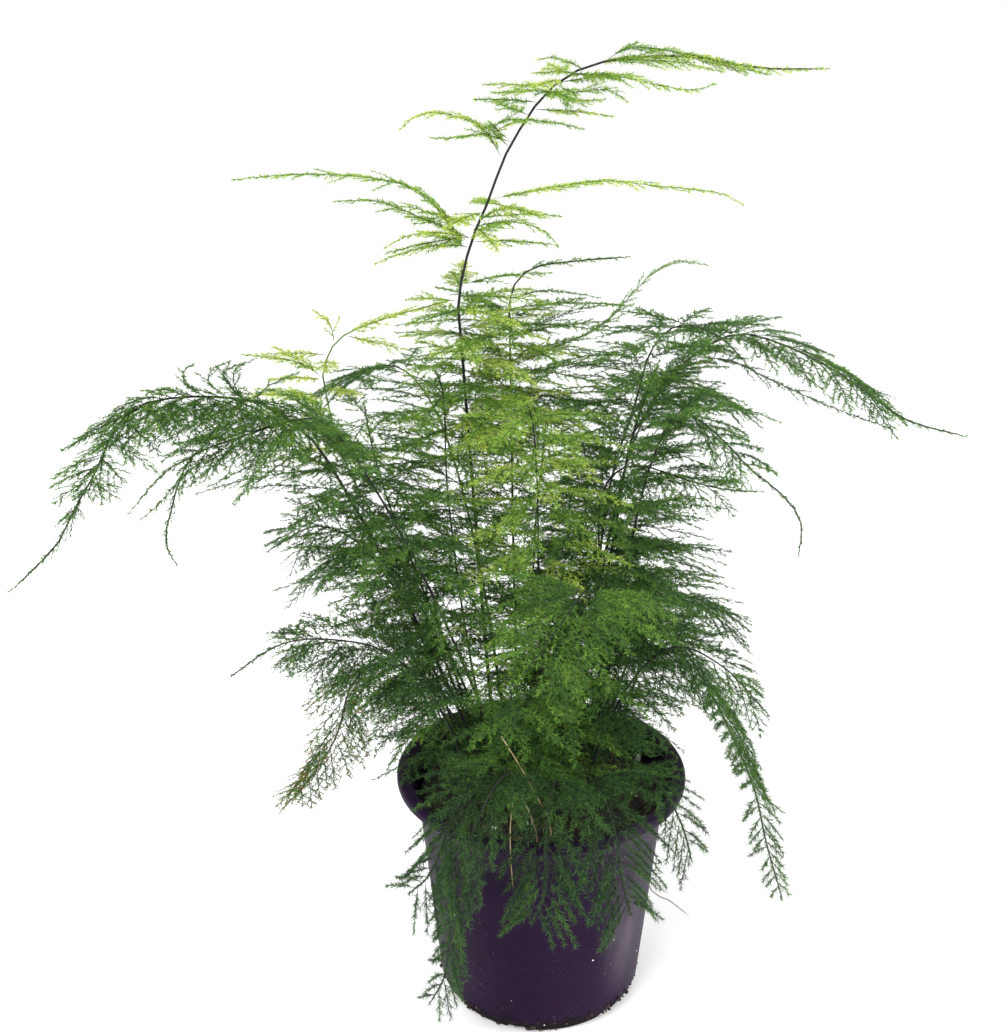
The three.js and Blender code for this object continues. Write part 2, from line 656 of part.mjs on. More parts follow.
function ribDirection(group, i, frond, number, tangent, side) {
  if (group.kind === "whorl") {
    const turn = (i * 0.618 + 0.31 + 0.05 * draw(frond, number, 3)) % 1;
    const azimuth = toRad(lerp(group.az0, group.az1, turn));
    const rise = toRad(group.lift + 8 * (draw(frond, number, 4) - 0.5));
    return v3(Math.cos(azimuth) * Math.cos(rise), Math.sin(azimuth) * Math.cos(rise), Math.sin(rise));
  }
  const spread = toRad(group.spread + 12 * (draw(frond, number, 3) - 0.5));
  const across = group.side ? v3(...group.side) : side;
  const flat = across.clone().addScaledVector(tangent, -across.dot(tangent)).normalize();
  const way = i % 2 === 0 ? 1 : -1;
  return tangent.clone().multiplyScalar(Math.cos(spread)).addScaledVector(flat, way * Math.sin(spread))
    .addScaledVector(UP, group.lift + 0.16 * (draw(frond, number, 4) - 0.5)).normalize();
}

// The first turn and length of a rib that keep it clear of the pot and of what is placed, or nothing
function fittedRib(root, direction, length, sag, owner) {
  for (const share of RIB_SHORTENINGS) {
    for (const [swing, lift] of RIB_TURNS) {
      const turned = direction.clone().applyAxisAngle(UP, toRad(swing));
      const across = v3().crossVectors(turned, UP).normalize();
      turned.applyAxisAngle(across, toRad(lift));
      const points = bentRib(root, turned, length * share, sag);
      if (points.some((p) => meetsPot(p, 2))) continue;
      if (ribIsClear(points, owner)) return points;
    }
  }
  return null;
}

// All ribs of a frond, grown in order. Those of the table's own points stand as they are.
function growRibs(frond, owner, stem) {
  const ribs = [];
  const heading = stem.at(1).sub(stem.at(0.1)).setZ(0).normalize();
  const side = v3(-heading.y, heading.x, 0);
  let number = 0;
  for (const group of frond.groups) {
    if (group.kind === "single") {
      const points = smooth(group.points, 10);
      points[0] = stem.nearest(points[0]);
      ribs.push({ points, bl: group.bl, number });
      place(points, owner, number, RIB_R);
      number += 1;
      continue;
    }
    for (let i = 0; i < group.n; i += 1, number += 1) {
      if (i % KEPT_RIBS !== 0) continue;
      const u = (i + 0.5) / group.n;
      const share = lerp(group.a, group.b, u + ((draw(owner, number, 1) - 0.5) * 0.5) / group.n);
      const length = lerp(group.l0, group.l1, u) * (0.85 + 0.3 * draw(owner, number, 2));
      const direction = ribDirection(group, i, owner, number, stem.tangent(share), side);
      const points = fittedRib(stem.at(share), direction, length, group.sag, owner);
      if (points) {
        ribs.push({ points, bl: group.bl, number });
        place(points, owner, number, RIB_R);
      }
    }
  }
  return ribs;
}

// A closed tube that starts flat and ends in a point, with spikes drawn out of its sides. rings holds
// { at, radius }, and spikes { ring, tip }: a spike grows out of the side after its ring that faces it.
function spikedTube(rings, tip, sides, spikes) {
  const positions = [];
  const faces = [];
  const frames = [];
  const corner = (ring, k) => ring * sides + (((k % sides) + sides) % sides);
  rings.forEach((ring, i) => {
    const before = rings[Math.max(i - 1, 0)].at;
    const after = i < rings.length - 1 ? rings[i + 1].at : tip;
    const tangent = v3().subVectors(after, before).normalize();
    const last = frames[i - 1];
    const guide = last ? last.top : Math.abs(tangent.z) > 0.9 ? v3(0, -1, 0) : UP;
    const across = v3().crossVectors(tangent, guide).normalize();
    const top = v3().crossVectors(across, tangent);
    frames.push({ across, top });
    for (let k = 0; k < sides; k += 1) {
      const angle = Math.PI / 2 + (2 * Math.PI * k) / sides;
      const p = ring.at.clone().addScaledVector(across, ring.radius * Math.cos(angle))
        .addScaledVector(top, ring.radius * Math.sin(angle));
      positions.push(p);
    }
  });
  const taken = new Map();
  for (const spike of spikes) {
    const { across, top } = frames[spike.ring];
    const way = spike.tip.clone().sub(rings[spike.ring].at).normalize();
    let best = -1;
    let bestDot = 0.05;
    for (let k = 0; k < sides; k += 1) {
      const angle = Math.PI / 2 + (2 * Math.PI * (k + 0.5)) / sides;
      const facing = across.clone().multiplyScalar(Math.cos(angle)).addScaledVector(top, Math.sin(angle));
      const dot = facing.dot(way);
      if (dot > bestDot && !taken.has(spike.ring * sides + k)) {
        best = k;
        bestDot = dot;
      }
    }
    if (best >= 0) taken.set(spike.ring * sides + best, spike.tip);
  }
  for (let i = 0; i < rings.length - 1; i += 1) {
    for (let k = 0; k < sides; k += 1) {
      const a = corner(i, k);
      const b = corner(i, k + 1);
      const c = corner(i + 1, k + 1);
      const d = corner(i + 1, k);
      const apex = taken.get(i * sides + k);
      if (apex) {
        positions.push(apex);
        const e = positions.length - 1;
        faces.push([b, a, e], [c, b, e], [d, c, e], [a, d, e]);
      } else {
        faces.push([a, d, b], [b, d, c]);
      }
    }
  }
  positions.push(tip);
  const end = positions.length - 1;
  for (let k = 0; k < sides; k += 1) {
    faces.push([corner(rings.length - 1, k + 1), corner(rings.length - 1, k), end]);
    if (k > 0 && k < sides - 1) faces.push([corner(0, 0), corner(0, k), corner(0, k + 1)]);
  }
  return toSolid(positions.flatMap((p) => [p.x, p.y, p.z]), faces.flat());
}

function toSolid(vertProperties, triVerts) {
  return new wasm.Manifold(new wasm.Mesh({
    numProp: 3,
    vertProperties: new Float32Array(vertProperties),
    triVerts: new Uint32Array(triVerts),
  }));
}

function solidFrom(geometry) {
  const plain = geometry.clone();
  plain.deleteAttribute("normal");
  plain.deleteAttribute("uv");
  const welded = mergeVertices(plain, 1e-4);
  return toSolid(welded.attributes.position.array, welded.index.array);
}

function geometryFrom(solid) {
  const mesh = solid.getMesh();
  const geometry = new THREE.BufferGeometry();
  geometry.setAttribute("position", new THREE.BufferAttribute(new Float32Array(mesh.vertProperties), 3));
  geometry.setIndex(new THREE.BufferAttribute(new Uint32Array(mesh.triVerts), 1));
  geometry.computeVertexNormals();
  return geometry;
}

// The largest body of a solid, without loose scraps
function wholeBody(solid) {
  const bodies = solid.decompose();
  return bodies.reduce((a, b) => (a.volume() > b.volume() ? a : b));
}

// Branchlets are long at a quarter of their rib and shrink to its tip
function branchletShare(f) {
  const rise = 0.5 + 0.5 * Math.min(1, f / 0.22);
  return rise * (1 - f) ** 0.65 * 0.92 + 0.08;
}

// Whether a spike keeps clear of the pot and of all that is placed, apart from its own route
function spikeIsClear(root, tip, owner, route) {
  const start = root.clone().lerp(tip, 1 / root.distanceTo(tip));
  if (meetsPot(tip, 0.8) || meetsPot(root.clone().lerp(tip, 0.6), 0.8)) return false;
  const box = new THREE.Box3().setFromPoints([start, tip]);
  for (const piece of placed) {
    if (piece.owner === owner && piece.route === route) continue;
    const reach = piece.radius + SPIKE_R + SPIKE_CLEARANCE;
    if (!isNear(box, piece, reach)) continue;
    if (gapBetween(start, tip, piece.a, piece.b) < reach) return false;
  }
  return true;
}

function fittedSpike(root, direction, length, owner, route) {
  const across = v3().crossVectors(direction, UP).normalize();
  for (const share of SPIKE_SHORTENINGS) {
    for (const [swing, lift] of SPIKE_TURNS) {
      const turned = direction.clone().applyAxisAngle(UP, toRad(swing)).applyAxisAngle(across, toRad(lift));
      const tip = root.clone().addScaledVector(turned, length * share);
      if (spikeIsClear(root, tip, owner, route)) {
        placed.push({ a: root, b: tip, owner, route, radius: SPIKE_R });
        return tip;
      }
    }
  }
  return null;
}

// The rings and spikes of a spray: collars along its route from the share `from` on, each with a branchlet
// on alternate sides, a needle on the other side and one below
function spraySpikes(route, from, bl, radii, owner, number, rings, spikes) {
  const count = Math.max(2, Math.round((route.length * (1 - from)) / RIB_STEP));
  for (let k = 0; k < count; k += 1) {
    const f = (k + 0.55) / (count + 0.25);
    const share = from + (1 - from) * f;
    const width = COLLAR_LENGTH / route.length;
    const radius = lerp(radii[0], radii[1], f);
    const tangent = route.tangent(share);
    const side = v3().crossVectors(tangent, UP);
    if (side.length() < 0.2) side.set(1, 0, 0);
    side.normalize().multiplyScalar(k % 2 ? 1 : -1);
    const middle = route.at(share);
    const below = v3().crossVectors(tangent, side).normalize();
    if (below.z > 0) below.negate();
    const aim = (angle, sideways, tilt) => tangent.clone().multiplyScalar(Math.cos(toRad(angle)))
      .addScaledVector(sideways, Math.sin(toRad(angle))).addScaledVector(UP, tilt).normalize();
    const wave = draw(owner, number, k + 50) - 0.5;
    const long = bl * branchletShare(f) * (0.8 + 0.4 * draw(owner, number, k));
    const other = bl * branchletShare(f) * (0.8 + 0.4 * draw(owner, number, k + 90));
    const shortest = NEEDLE_LENGTH * 0.8;
    const wanted = [
      [aim(BRANCHLET_ANGLE + 10 * wave, side, -0.08), Math.max(long, shortest)],
      [aim(BRANCHLET_ANGLE - 10 * wave, side.clone().negate(), -0.08), Math.max(other, shortest)],
      [aim(NEEDLE_ANGLE, below, 0), NEEDLE_LENGTH],
    ];
    rings.push({ at: route.at(share - width / 2), radius });
    const ring = rings.length - 1;
    rings.push({ at: route.at(share + width / 2), radius });
    for (const [direction, length] of wanted) {
      const tip = fittedSpike(middle, direction, length, owner, number);
      if (tip) spikes.push({ ring, tip });
    }
  }
}

function ribSolid(rib, owner) {
  const route = new Route(rib.points);
  const rings = [{ at: route.at(0), radius: ROOT_R }];
  const spikes = [];
  spraySpikes(route, 4 / route.length, rib.bl, [RIB_R, RIB_TIP_R], owner, rib.number, rings, spikes);
  return spikedTube(rings, route.at(1), RIB_SIDES, spikes);
}

const STEM_SAG = 0.7;
const STEM_STEP = 45;

// Rings of a bare stem up to a share of its length, closer where it bends
function stemRings(stem, radii, until) {
  const radius = (share) => lerp(radii[0], radii[1], share);
  const rings = [{ at: stem.at(0), radius: radii[0] }];
  let share = HOLE_LENGTH / stem.length;
  rings.push({ at: stem.at(share), radius: radius(share) });
  const step = 2 / stem.length;
  let next = share + step;
  while (next < until) {
    const chord = new THREE.Line3(stem.at(share), stem.at(next));
    const middle = stem.at((share + next) / 2);
    const sag = chord.closestPointToPoint(middle, true, v3()).distanceTo(middle);
    if (sag > STEM_SAG || (next - share) * stem.length > STEM_STEP) {
      rings.push({ at: stem.at(next), radius: radius(next) });
      share = next;
    }
    next += step;
  }
  return rings;
}

// The stem's own foot, grown by a gap, which makes its hole in the compost
function holeFor(stem, radii) {
  const foot = stem.at(0);
  const mouth = stem.at(HOLE_LENGTH / stem.length);
  const way = mouth.clone().sub(foot).normalize();
  const low = foot.clone().addScaledVector(way, -SEAT_GAP);
  const grown = radii[0] + 0.5;
  const rings = [{ at: low, radius: grown }, { at: mouth, radius: grown }];
  return spikedTube(rings, mouth.clone().addScaledVector(way, 3), STEM_SIDES, []);
}

const stems = [...FRONDS, ...DRY_STEMS].map((plant, owner) => ({
  plant,
  owner,
  stem: new Route(smooth(plant.route, 160)),
}));
for (const { plant, owner, stem } of stems) {
  const count = Math.max(8, Math.round(stem.length / 6));
  const points = Array.from({ length: count + 1 }, (_, k) => stem.at(k / count));
  place(points, owner, STEM_ROUTE, plant.r[0]);
}
for (const each of stems) each.ribs = each.plant.groups ? growRibs(each.plant, each.owner, each.stem) : [];

const group = new THREE.Group();
group.name = "potted_asparagus_fern";

function addMesh(name, slot, solid) {
  const material = new THREE.MeshStandardMaterial({ ...COLOURS[slot], metalness: 0 });
  const mesh = new THREE.Mesh(geometryFrom(wholeBody(solid)), material);
  mesh.name = name;
  group.add(mesh);
}

for (const { plant, owner, stem, ribs } of stems) {
  const spikes = [];
  const rings = stemRings(stem, plant.r, plant.tipFrom ?? 0.97);
  if (plant.tipFrom) {
    const radii = [lerp(plant.r[0], plant.r[1], plant.tipFrom), plant.r[1]];
    spraySpikes(stem, plant.tipFrom, plant.tipBl, radii, owner, STEM_ROUTE, rings, spikes);
  }
  let solid = spikedTube(rings, stem.at(1), STEM_SIDES, spikes);
  for (const rib of ribs) solid = solid.add(ribSolid(rib, owner));
  addMesh(plant.name, plant.slot, solid);
}

// The pot: one lathed wall with a rolled rim, a recessed underside, drain holes and notches in its foot
const POT_INSIDE = [
  [RIM_R - 1, 113],
  [RIM_R - 4.5, 113],
  [RIM_INNER_R, 110.4],
  [56.2, COLLAR_Z],
  [53.1, 90],
  [44.8, 8],
  [41.2, FLOOR_TOP],
  [0, FLOOR_TOP],
];
const POT_UNDERSIDE = [
  [0, 0],
  [CENTRE_PAD_R, 0],
  [CENTRE_PAD_R + 0.8, FLOOR_UNDERSIDE],
  [FOOT_R - 7, FLOOR_UNDERSIDE],
  [FOOT_R - 6.2, 0],
];

const profile = (points) => points.map(([r, z]) => new THREE.Vector2(r, z));
const lathe = (points, sides) => new THREE.LatheGeometry(profile(points), sides).rotateX(Math.PI / 2);

let potSolid = solidFrom(lathe([...POT_UNDERSIDE, ...POT_OUTSIDE, ...POT_INSIDE], POT_SIDES));
for (let i = 0; i < DRAIN_HOLES; i += 1) {
  const angle = (i * 2 * Math.PI) / DRAIN_HOLES + 0.26;
  const hole = new THREE.CylinderGeometry(DRAIN_HOLE_R, DRAIN_HOLE_R, 8, 8).rotateX(Math.PI / 2);
  hole.translate(DRAIN_RING_R * Math.cos(angle), DRAIN_RING_R * Math.sin(angle), FLOOR_TOP);
  const notch = new THREE.BoxGeometry(14, NOTCH_WIDTH, 2 * FLOOR_UNDERSIDE - 0.8);
  notch.translate(FOOT_R - 2, 0, 0).rotateZ(angle);
  potSolid = potSolid.subtract(solidFrom(hole)).subtract(solidFrom(notch));
}
addMesh("pot", "pot", potSolid);

// The compost fills the pot to just below the collar, and its top is uneven
const SOIL_PROFILE = [
  [0, FLOOR_TOP + SEAT_GAP],
  [40.9, FLOOR_TOP + SEAT_GAP],
  [44.4, 8],
  [52.7, 90],
  [55.2, SOIL_Z - 1.5],
  [44, SOIL_Z],
  [0, SOIL_Z],
];
const soilGeometry = lathe(SOIL_PROFILE, SOIL_SIDES);
const soilPoints = soilGeometry.attributes.position;
for (let i = 0; i < soilPoints.count; i += 1) {
  const x = soilPoints.getX(i);
  const y = soilPoints.getY(i);
  if (soilPoints.getZ(i) > SOIL_Z - 0.5) {
    const wave = Math.sin(x * 0.21 + 1.3) * Math.cos(y * 0.17) + 0.6 * Math.sin(x * 0.37 - y * 0.29);
    soilPoints.setZ(i, SOIL_Z + SOIL_ROUGHNESS * 0.6 * wave);
  }
}
let soilSolid = solidFrom(soilGeometry);
for (const { plant, stem } of stems) soilSolid = soilSolid.subtract(holeFor(stem, plant.r));
addMesh("soil", "soil", soilSolid);

export default group;
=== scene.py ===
"""A potted asparagus fern: wiry stems with feathered sprays of fine needles, in a round nursery pot of dark
plastic filled with compost.

Each frond of the frame is grown again by the frame's own rule, with all of its ribs, branchlets and needles.
Sizes are in millimetres until a mesh is made, which is in metres. -Y is the plant's front.
"""

import math
from dataclasses import dataclass, replace

import bpy
import numpy as np
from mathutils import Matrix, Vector


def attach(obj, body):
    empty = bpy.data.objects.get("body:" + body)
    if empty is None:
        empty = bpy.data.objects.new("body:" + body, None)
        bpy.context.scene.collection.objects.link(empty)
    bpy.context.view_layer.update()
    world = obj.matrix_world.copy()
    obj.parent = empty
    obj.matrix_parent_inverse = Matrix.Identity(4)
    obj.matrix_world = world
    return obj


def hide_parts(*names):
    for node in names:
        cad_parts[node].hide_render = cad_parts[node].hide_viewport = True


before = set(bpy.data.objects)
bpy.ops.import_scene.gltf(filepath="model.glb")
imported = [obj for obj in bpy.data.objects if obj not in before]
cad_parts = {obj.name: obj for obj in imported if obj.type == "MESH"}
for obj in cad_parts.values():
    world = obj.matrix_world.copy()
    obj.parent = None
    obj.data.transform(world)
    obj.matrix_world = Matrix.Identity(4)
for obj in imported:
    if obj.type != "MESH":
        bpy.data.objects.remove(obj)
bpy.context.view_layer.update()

MM = 0.001
UP = np.array([0.0, 0.0, 1.0])


@dataclass
class Whorl:
    """Ribs that stand all round a stem or between two azimuths, from the share start of its length to the
    share end. They rise by lift degrees and bend down by the share sag of their own length."""

    start: float
    end: float
    count: int
    first_length: float
    last_length: float
    lift: float
    sag: float
    longest_branchlet: float
    from_azimuth: float = 0
    to_azimuth: float = 360


@dataclass
class Comb:
    """Ribs that alternate to either side of a stem at the angle spread, in the direction side if it is given.
    They rise by the share lift of their own length, and the rest is as for a whorl."""

    start: float
    end: float
    count: int
    first_length: float
    last_length: float
    spread: float
    lift: float
    sag: float
    longest_branchlet: float
    side: tuple = None


class Single:
    """One rib that follows its own points."""

    def __init__(self, longest_branchlet, *points):
        self.longest_branchlet = longest_branchlet
        self.points = points


@dataclass
class Frond:
    """A frond: its colour slot, stem radius at foot and tip, where along the stem its tip spray begins,
    the longest branchlet of that spray, the stem's route and its groups of ribs."""

    name: str
    slot: str
    radii: tuple
    tip_from: float
    tip_branchlet: float
    route: list
    groups: list


FRONDS = [
    Frond("frond_leader", "fresh", (1.5, 0.6), 0.8, 13, [
        (-19, 8, 88), (-20, 8, 108), (-25, 6, 174), (-29, 5, 234), (-34, 5, 307), (-35, 5, 328),
        (-30, 8, 350), (-22, 9, 369), (-16, 10, 385), (0, 10, 409), (20, 10, 420), (51, 6, 423),
        (81, 2, 419), (107, 0, 419),
    ], [
        Single(12, (22, 10, 421), (32, 9, 426), (45, 7, 425), (58, 4, 423), (71, 1, 421)),
        Single(11, (22, 10, 421), (35, 3, 422), (52, 0, 421), (67, -3, 418)),
        Single(9, (54, 5, 422), (70, 8, 419), (86, 6, 416)),
        Single(10, (11, 10, 414), (20, 2, 417), (35, -4, 415), (54, -8, 412), (63, -10, 415)),
        Single(8, (15, 10, 414), (7, 8, 417), (0, 6, 417), (-6, 4, 417)),
        Single(5, (17, 10, 416), (9, 10, 420), (2, 10, 422), (-4, 10, 421)),
        Single(12, (7, 10, 408), (-3, 6, 410), (-12, 2, 410), (-21, 0, 410)),
        Single(12, (7, 10, 408), (17, 8, 410), (25, 5, 410), (31, 3, 406)),
        Single(9, (5, 10, 406), (12, 0, 407), (22, -4, 408)),
        Single(12, (-18, 9, 383), (-23, 7, 394), (-31, 6, 399), (-41, 4, 402), (-51, 2, 401),
               (-57, 0, 396)),
        Single(11, (-23, 7, 394), (-18, 3, 399), (-9, 0, 400), (3, -2, 399), (14, -4, 397)),
        Single(9, (-23, 7, 394), (-33, 2, 393), (-45, 0, 393)),
        Single(9, (-22, 7, 393), (-15, 8, 397), (-6, 8, 399)),
        Single(12, (-21, 9, 367), (-9, 5, 371), (7, 0, 375), (24, -5, 378), (40, -8, 376),
               (59, -10, 375), (70, -11, 373), (76, -11, 369)),
        Single(15, (-32, 7, 346), (-42, 5, 364), (-58, 0, 376), (-92, -4, 380), (-122, -6, 378)),
        Single(11, (-34, 7, 354), (-50, 5, 361), (-66, 3, 368), (-84, 2, 368)),
        Single(9, (-29, 8, 357), (-22, 4, 363), (-14, 0, 366), (-5, -3, 364)),
        Single(9, (-29, 8, 357), (-20, 0, 360), (-10, -4, 361), (-1, -6, 358), (5, -8, 352)),
        Single(9, (-29, 8, 357), (-36, 2, 361), (-46, 0, 364), (-55, -2, 367), (-67, -4, 365)),
        Single(8, (-30, 8, 353), (-42, 0, 356), (-54, -4, 356), (-64, -6, 351)),
        Single(8, (-31, 8, 349), (-44, 0, 351), (-56, -4, 349), (-68, -6, 345)),
        Whorl(0.72, 0.78, 10, 30, 24, 5, 0.06, 9),
        Whorl(0.59, 0.64, 10, 38, 30, 4, 0.12, 10),
        Whorl(0.4, 0.56, 15, 32, 26, 8, 0.14, 11, 100, 260),
        Whorl(0.4, 0.56, 29, 54, 46, 8, 0.14, 12, -90, 90),
    ]),
    Frond("frond_centre_back", "leaf", (1.3, 0.5), 0.86, 9, [
        (-9, 20, 88), (-10, 20, 108), (-12, 20, 186), (-13, 18, 235), (-14, 15, 298), (-14, 15, 326),
        (-6, 14, 338), (14, 12, 342), (34, 10, 344),
    ], [
        Single(18, (-14, 15, 296), (3, 16, 304), (24, 17, 313), (41, 20, 332), (54, 20, 340),
               (67, 20, 338)),
        Single(14, (-13, 16, 309), (2, 18, 315), (15, 20, 320), (30, 22, 321)),
        Single(7, (-14, 15, 325), (-2, 14, 329), (12, 14, 328), (23, 14, 326)),
        Whorl(0.56, 0.8, 50, 56, 46, 10, 0.14, 12),
        Whorl(0.3, 0.55, 28, 44, 50, 10, 0.2, 12),
    ]),
    Frond("frond_centre_left", "leaf", (1.2, 0.5), 0.9, 12, [
        (-21, -3, 88), (-22, -2, 108), (-34, -5, 189), (-40, -10, 250), (-41, -10, 289), (-44, -13, 304),
    ], [
        Whorl(0.5, 0.97, 36, 52, 34, 8, 0.2, 12),
    ]),
    Frond("frond_left_arch", "dark", (1.6, 0.5), 0.86, 9, [
        (-22, -15, 88), (-24, -16, 112), (-40, -18, 162), (-67, -22, 226), (-88, -30, 273),
        (-98, -34, 287), (-110, -39, 298), (-126, -46, 303), (-141, -53, 305), (-153, -60, 304),
        (-162, -66, 296), (-168, -71, 283), (-176, -76, 270), (-183, -80, 257), (-192, -83, 248),
        (-202, -85, 239),
    ], [
        Single(10, (-116, -43, 300), (-119, -46, 307), (-118, -50, 315), (-110, -48, 319)),
        Single(10, (-122, -45, 302), (-128, -50, 310), (-126, -52, 316), (-119, -52, 319)),
        Single(9, (-129, -48, 303), (-135, -52, 309), (-137, -54, 315), (-132, -54, 319)),
        Single(9, (-134, -51, 303), (-141, -54, 308), (-146, -56, 309), (-151, -58, 308)),
        Single(6, (-113, -42, 300), (-108, -36, 304), (-102, -32, 306), (-96, -30, 308)),
        Single(10, (-140, -53, 303), (-148, -58, 307), (-156, -62, 306), (-163, -66, 301),
               (-167, -68, 293)),
        Single(10, (-116, -43, 300), (-121, -45, 307), (-123, -46, 313), (-115, -44, 316)),
        Whorl(0.58, 0.86, 52, 46, 15, -4, 0.24, 12, 190, 350),
        Comb(0.6, 0.9, 22, 16, 8, 45, 0.1, 0.1, 8),
        Whorl(0.36, 0.57, 31, 46, 50, 5, 0.2, 12),
    ]),
    Frond("frond_left_young", "young", (1.1, 0.5), 0.84, 9, [
        (-26, 14, 88), (-28, 15, 108), (-54, 20, 186), (-84, 25, 246), (-93, 25, 284), (-92, 25, 296),
        (-84, 25, 307), (-62, 20, 317), (-40, 16, 324),
    ], [
        Single(9, (-93, 25, 288), (-104, 20, 297), (-126, 14, 302)),
        Single(6, (-88, 25, 303), (-90, 26, 312), (-97, 26, 318)),
        Single(8, (-84, 25, 307), (-70, 18, 306), (-57, 14, 304)),
        Single(11, (-92, 25, 276), (-104, 16, 283), (-120, 8, 286), (-134, 4, 277)),
        Whorl(0.6, 0.8, 14, 34, 28, 15, 0.1, 7, 120, 330),
    ]),
    Frond("frond_right_arch", "dark", (1.6, 0.5), 0.86, 7, [
        (9, 10, 88), (10, 10, 108), (26, 20, 177), (37, 25, 254), (42, 25, 268), (52, 25, 285),
        (64, 25, 299), (81, 20, 309), (99, 10, 307), (117, 0, 300), (133, -5, 290), (148, -10, 281),
        (173, -10, 274),
    ], [
        Single(12, (63, 24, 298), (79, 14, 299), (91, 8, 294), (105, 2, 289), (118, -2, 284),
               (143, -6, 276)),
        Single(12, (82, 19, 308), (96, 6, 303), (108, 0, 296), (118, -7, 288)),
        Comb(0.5, 0.88, 43, 42, 24, 46, 0.06, 0.26, 12),
        Whorl(0.3, 0.46, 22, 40, 46, 10, 0.2, 12),
    ]),
    Frond("frond_right_upper", "dark", (1.3, 0.5), 0.86, 10, [
        (15, 4, 88), (16, 4, 108), (22, 8, 180), (28, 6, 245), (38, 3, 286), (42, 0, 305), (49, -6, 318),
        (58, -14, 322), (70, -22, 318), (80, -28, 308),
    ], [
        Single(14, (42, 0, 304), (24, -6, 308), (6, -10, 306), (-6, -12, 298)),
        Whorl(0.7, 0.9, 29, 38, 30, 8, 0.15, 12),
        Whorl(0.3, 0.55, 22, 40, 46, 10, 0.2, 12),
    ]),
    Frond("frond_right_drooping", "dark", (1.3, 0.5), 0.72, 7, [
        (20, -4, 88), (21, -5, 108), (31, -14, 190), (39, -20, 250), (44, -26, 274), (49, -30, 288),
        (56, -33, 292), (70, -40, 282), (79, -44, 273), (90, -47, 265), (98, -49, 256), (100, -50, 248),
        (99, -50, 238),
    ], [
        Single(9, (59, -34, 292), (69, -38, 297), (80, -40, 295), (91, -42, 291)),
        Single(10, (44, -26, 274), (47, -30, 283), (54, -36, 288), (61, -40, 288)),
        Comb(0.62, 0.84, 25, 38, 16, 55, 0.12, 0.2, 11),
        Whorl(0.3, 0.5, 22, 44, 40, 8, 0.2, 12),
    ]),
    Frond("frond_front_centre", "fresh", (1.2, 0.5), 0.93, 12, [
        (0, -8, 88), (0, -9, 108), (-2, -18, 190), (-3, -26, 250), (-5, -32, 285), (-8, -38, 298),
    ], [
        Whorl(0.62, 0.98, 43, 46, 33, 6, 0.18, 13),
        Whorl(0.14, 0.55, 25, 36, 48, 12, 0.3, 12),
    ]),
    Frond("frond_front_bright", "leaf", (1.1, 0.5), 0.8, 14, [
        (6, -20, 88), (7, -21, 108), (12, -30, 170), (16, -45, 215), (14, -62, 228), (4, -80, 222),
        (-12, -92, 204),
    ], [
        Comb(0.55, 0.92, 31, 52, 24, 55, 0.02, 0.3, 12),
        Whorl(0.15, 0.48, 20, 34, 42, 15, 0.35, 11),
    ]),
    Frond("frond_right_low_front", "dark", (1.2, 0.5), 0.82, 13, [
        (17, -14, 88), (18, -15, 108), (34, -26, 164), (52, -38, 192), (72, -46, 188), (92, -52, 168),
    ], [
        Comb(0.35, 0.92, 29, 42, 18, 55, 0.03, 0.28, 12, (0.3, -0.85, -0.4)),
    ]),
    Frond("frond_right_middle", "dark", (1.3, 0.5), 0.82, 8, [
        (24, 4, 88), (25, 4, 108), (26, 2, 180), (23, -8, 240), (29, -14, 260), (40, -20, 265),
        (58, -26, 261), (73, -28, 258), (88, -30, 258),
    ], [
        Single(9, (28, -14, 260), (12, -20, 260), (0, -26, 257), (-10, -30, 254)),
        Comb(0.66, 0.92, 22, 40, 18, 55, 0.03, 0.2, 11, (0.1, -0.95, -0.25)),
        Whorl(0.25, 0.72, 50, 54, 48, 6, 0.2, 12),
        Whorl(0.36, 0.64, 26, 60, 56, 4, 0.2, 12, -65, 35),
    ]),
    Frond("frond_right_trailing", "leaf", (1.2, 0.5), 0.5, 6, [
        (28, -8, 88), (30, -8, 108), (38, -7, 150), (47, -5, 178), (58, -3, 178), (72, -1, 156),
        (84, 0, 132), (97, 0, 101), (104, 0, 73), (114, 0, 40),
    ], [
        Comb(0.3, 0.74, 40, 42, 20, 58, 0.02, 0.16, 7, (0.2, -0.95, 0.3)),
        Comb(0.75, 0.97, 20, 16, 8, 40, 0.02, 0.12, 5, (0.7, -0.5, 0.5)),
    ]),
    Frond("frond_left_upper", "dark", (1.2, 0.5), 0.82, 13, [
        (-30, -6, 88), (-32, -6, 108), (-51, -8, 178), (-73, -11, 222), (-93, -18, 238),
        (-114, -26, 230),
    ], [
        Comb(0.35, 0.92, 36, 50, 24, 55, -0.03, 0.25, 12, (-0.1, -0.95, -0.25)),
    ]),
    Frond("frond_left_centre", "dark", (1.2, 0.5), 0.8, 9, [
        (-12, -9, 88), (-13, -11, 108), (-34, -28, 180), (-54, -38, 235), (-76, -42, 279),
        (-88, -46, 294), (-101, -50, 294), (-113, -54, 291), (-125, -58, 288), (-134, -62, 285),
        (-139, -66, 276), (-142, -69, 266), (-145, -71, 254), (-141, -72, 244),
    ], [
        Single(6, (-130, -60, 286), (-142, -64, 281), (-150, -68, 274), (-158, -72, 265)),
        Single(6, (-138, -65, 278), (-147, -70, 268), (-154, -73, 263)),
        Single(7, (-116, -55, 290), (-124, -62, 283), (-134, -68, 276)),
        Single(8, (-98, -50, 294), (-109, -56, 282), (-119, -60, 277), (-129, -64, 273)),
        Comb(0.6, 0.86, 29, 40, 20, 55, 0.04, 0.22, 11),
        Whorl(0.3, 0.58, 29, 44, 48, 5, 0.2, 12),
    ]),
    Frond("frond_left_middle", "dark", (1.2, 0.5), 0.75, 10, [
        (-26, -22, 88), (-28, -23, 108), (-43, -34, 160), (-63, -44, 192), (-88, -50, 202),
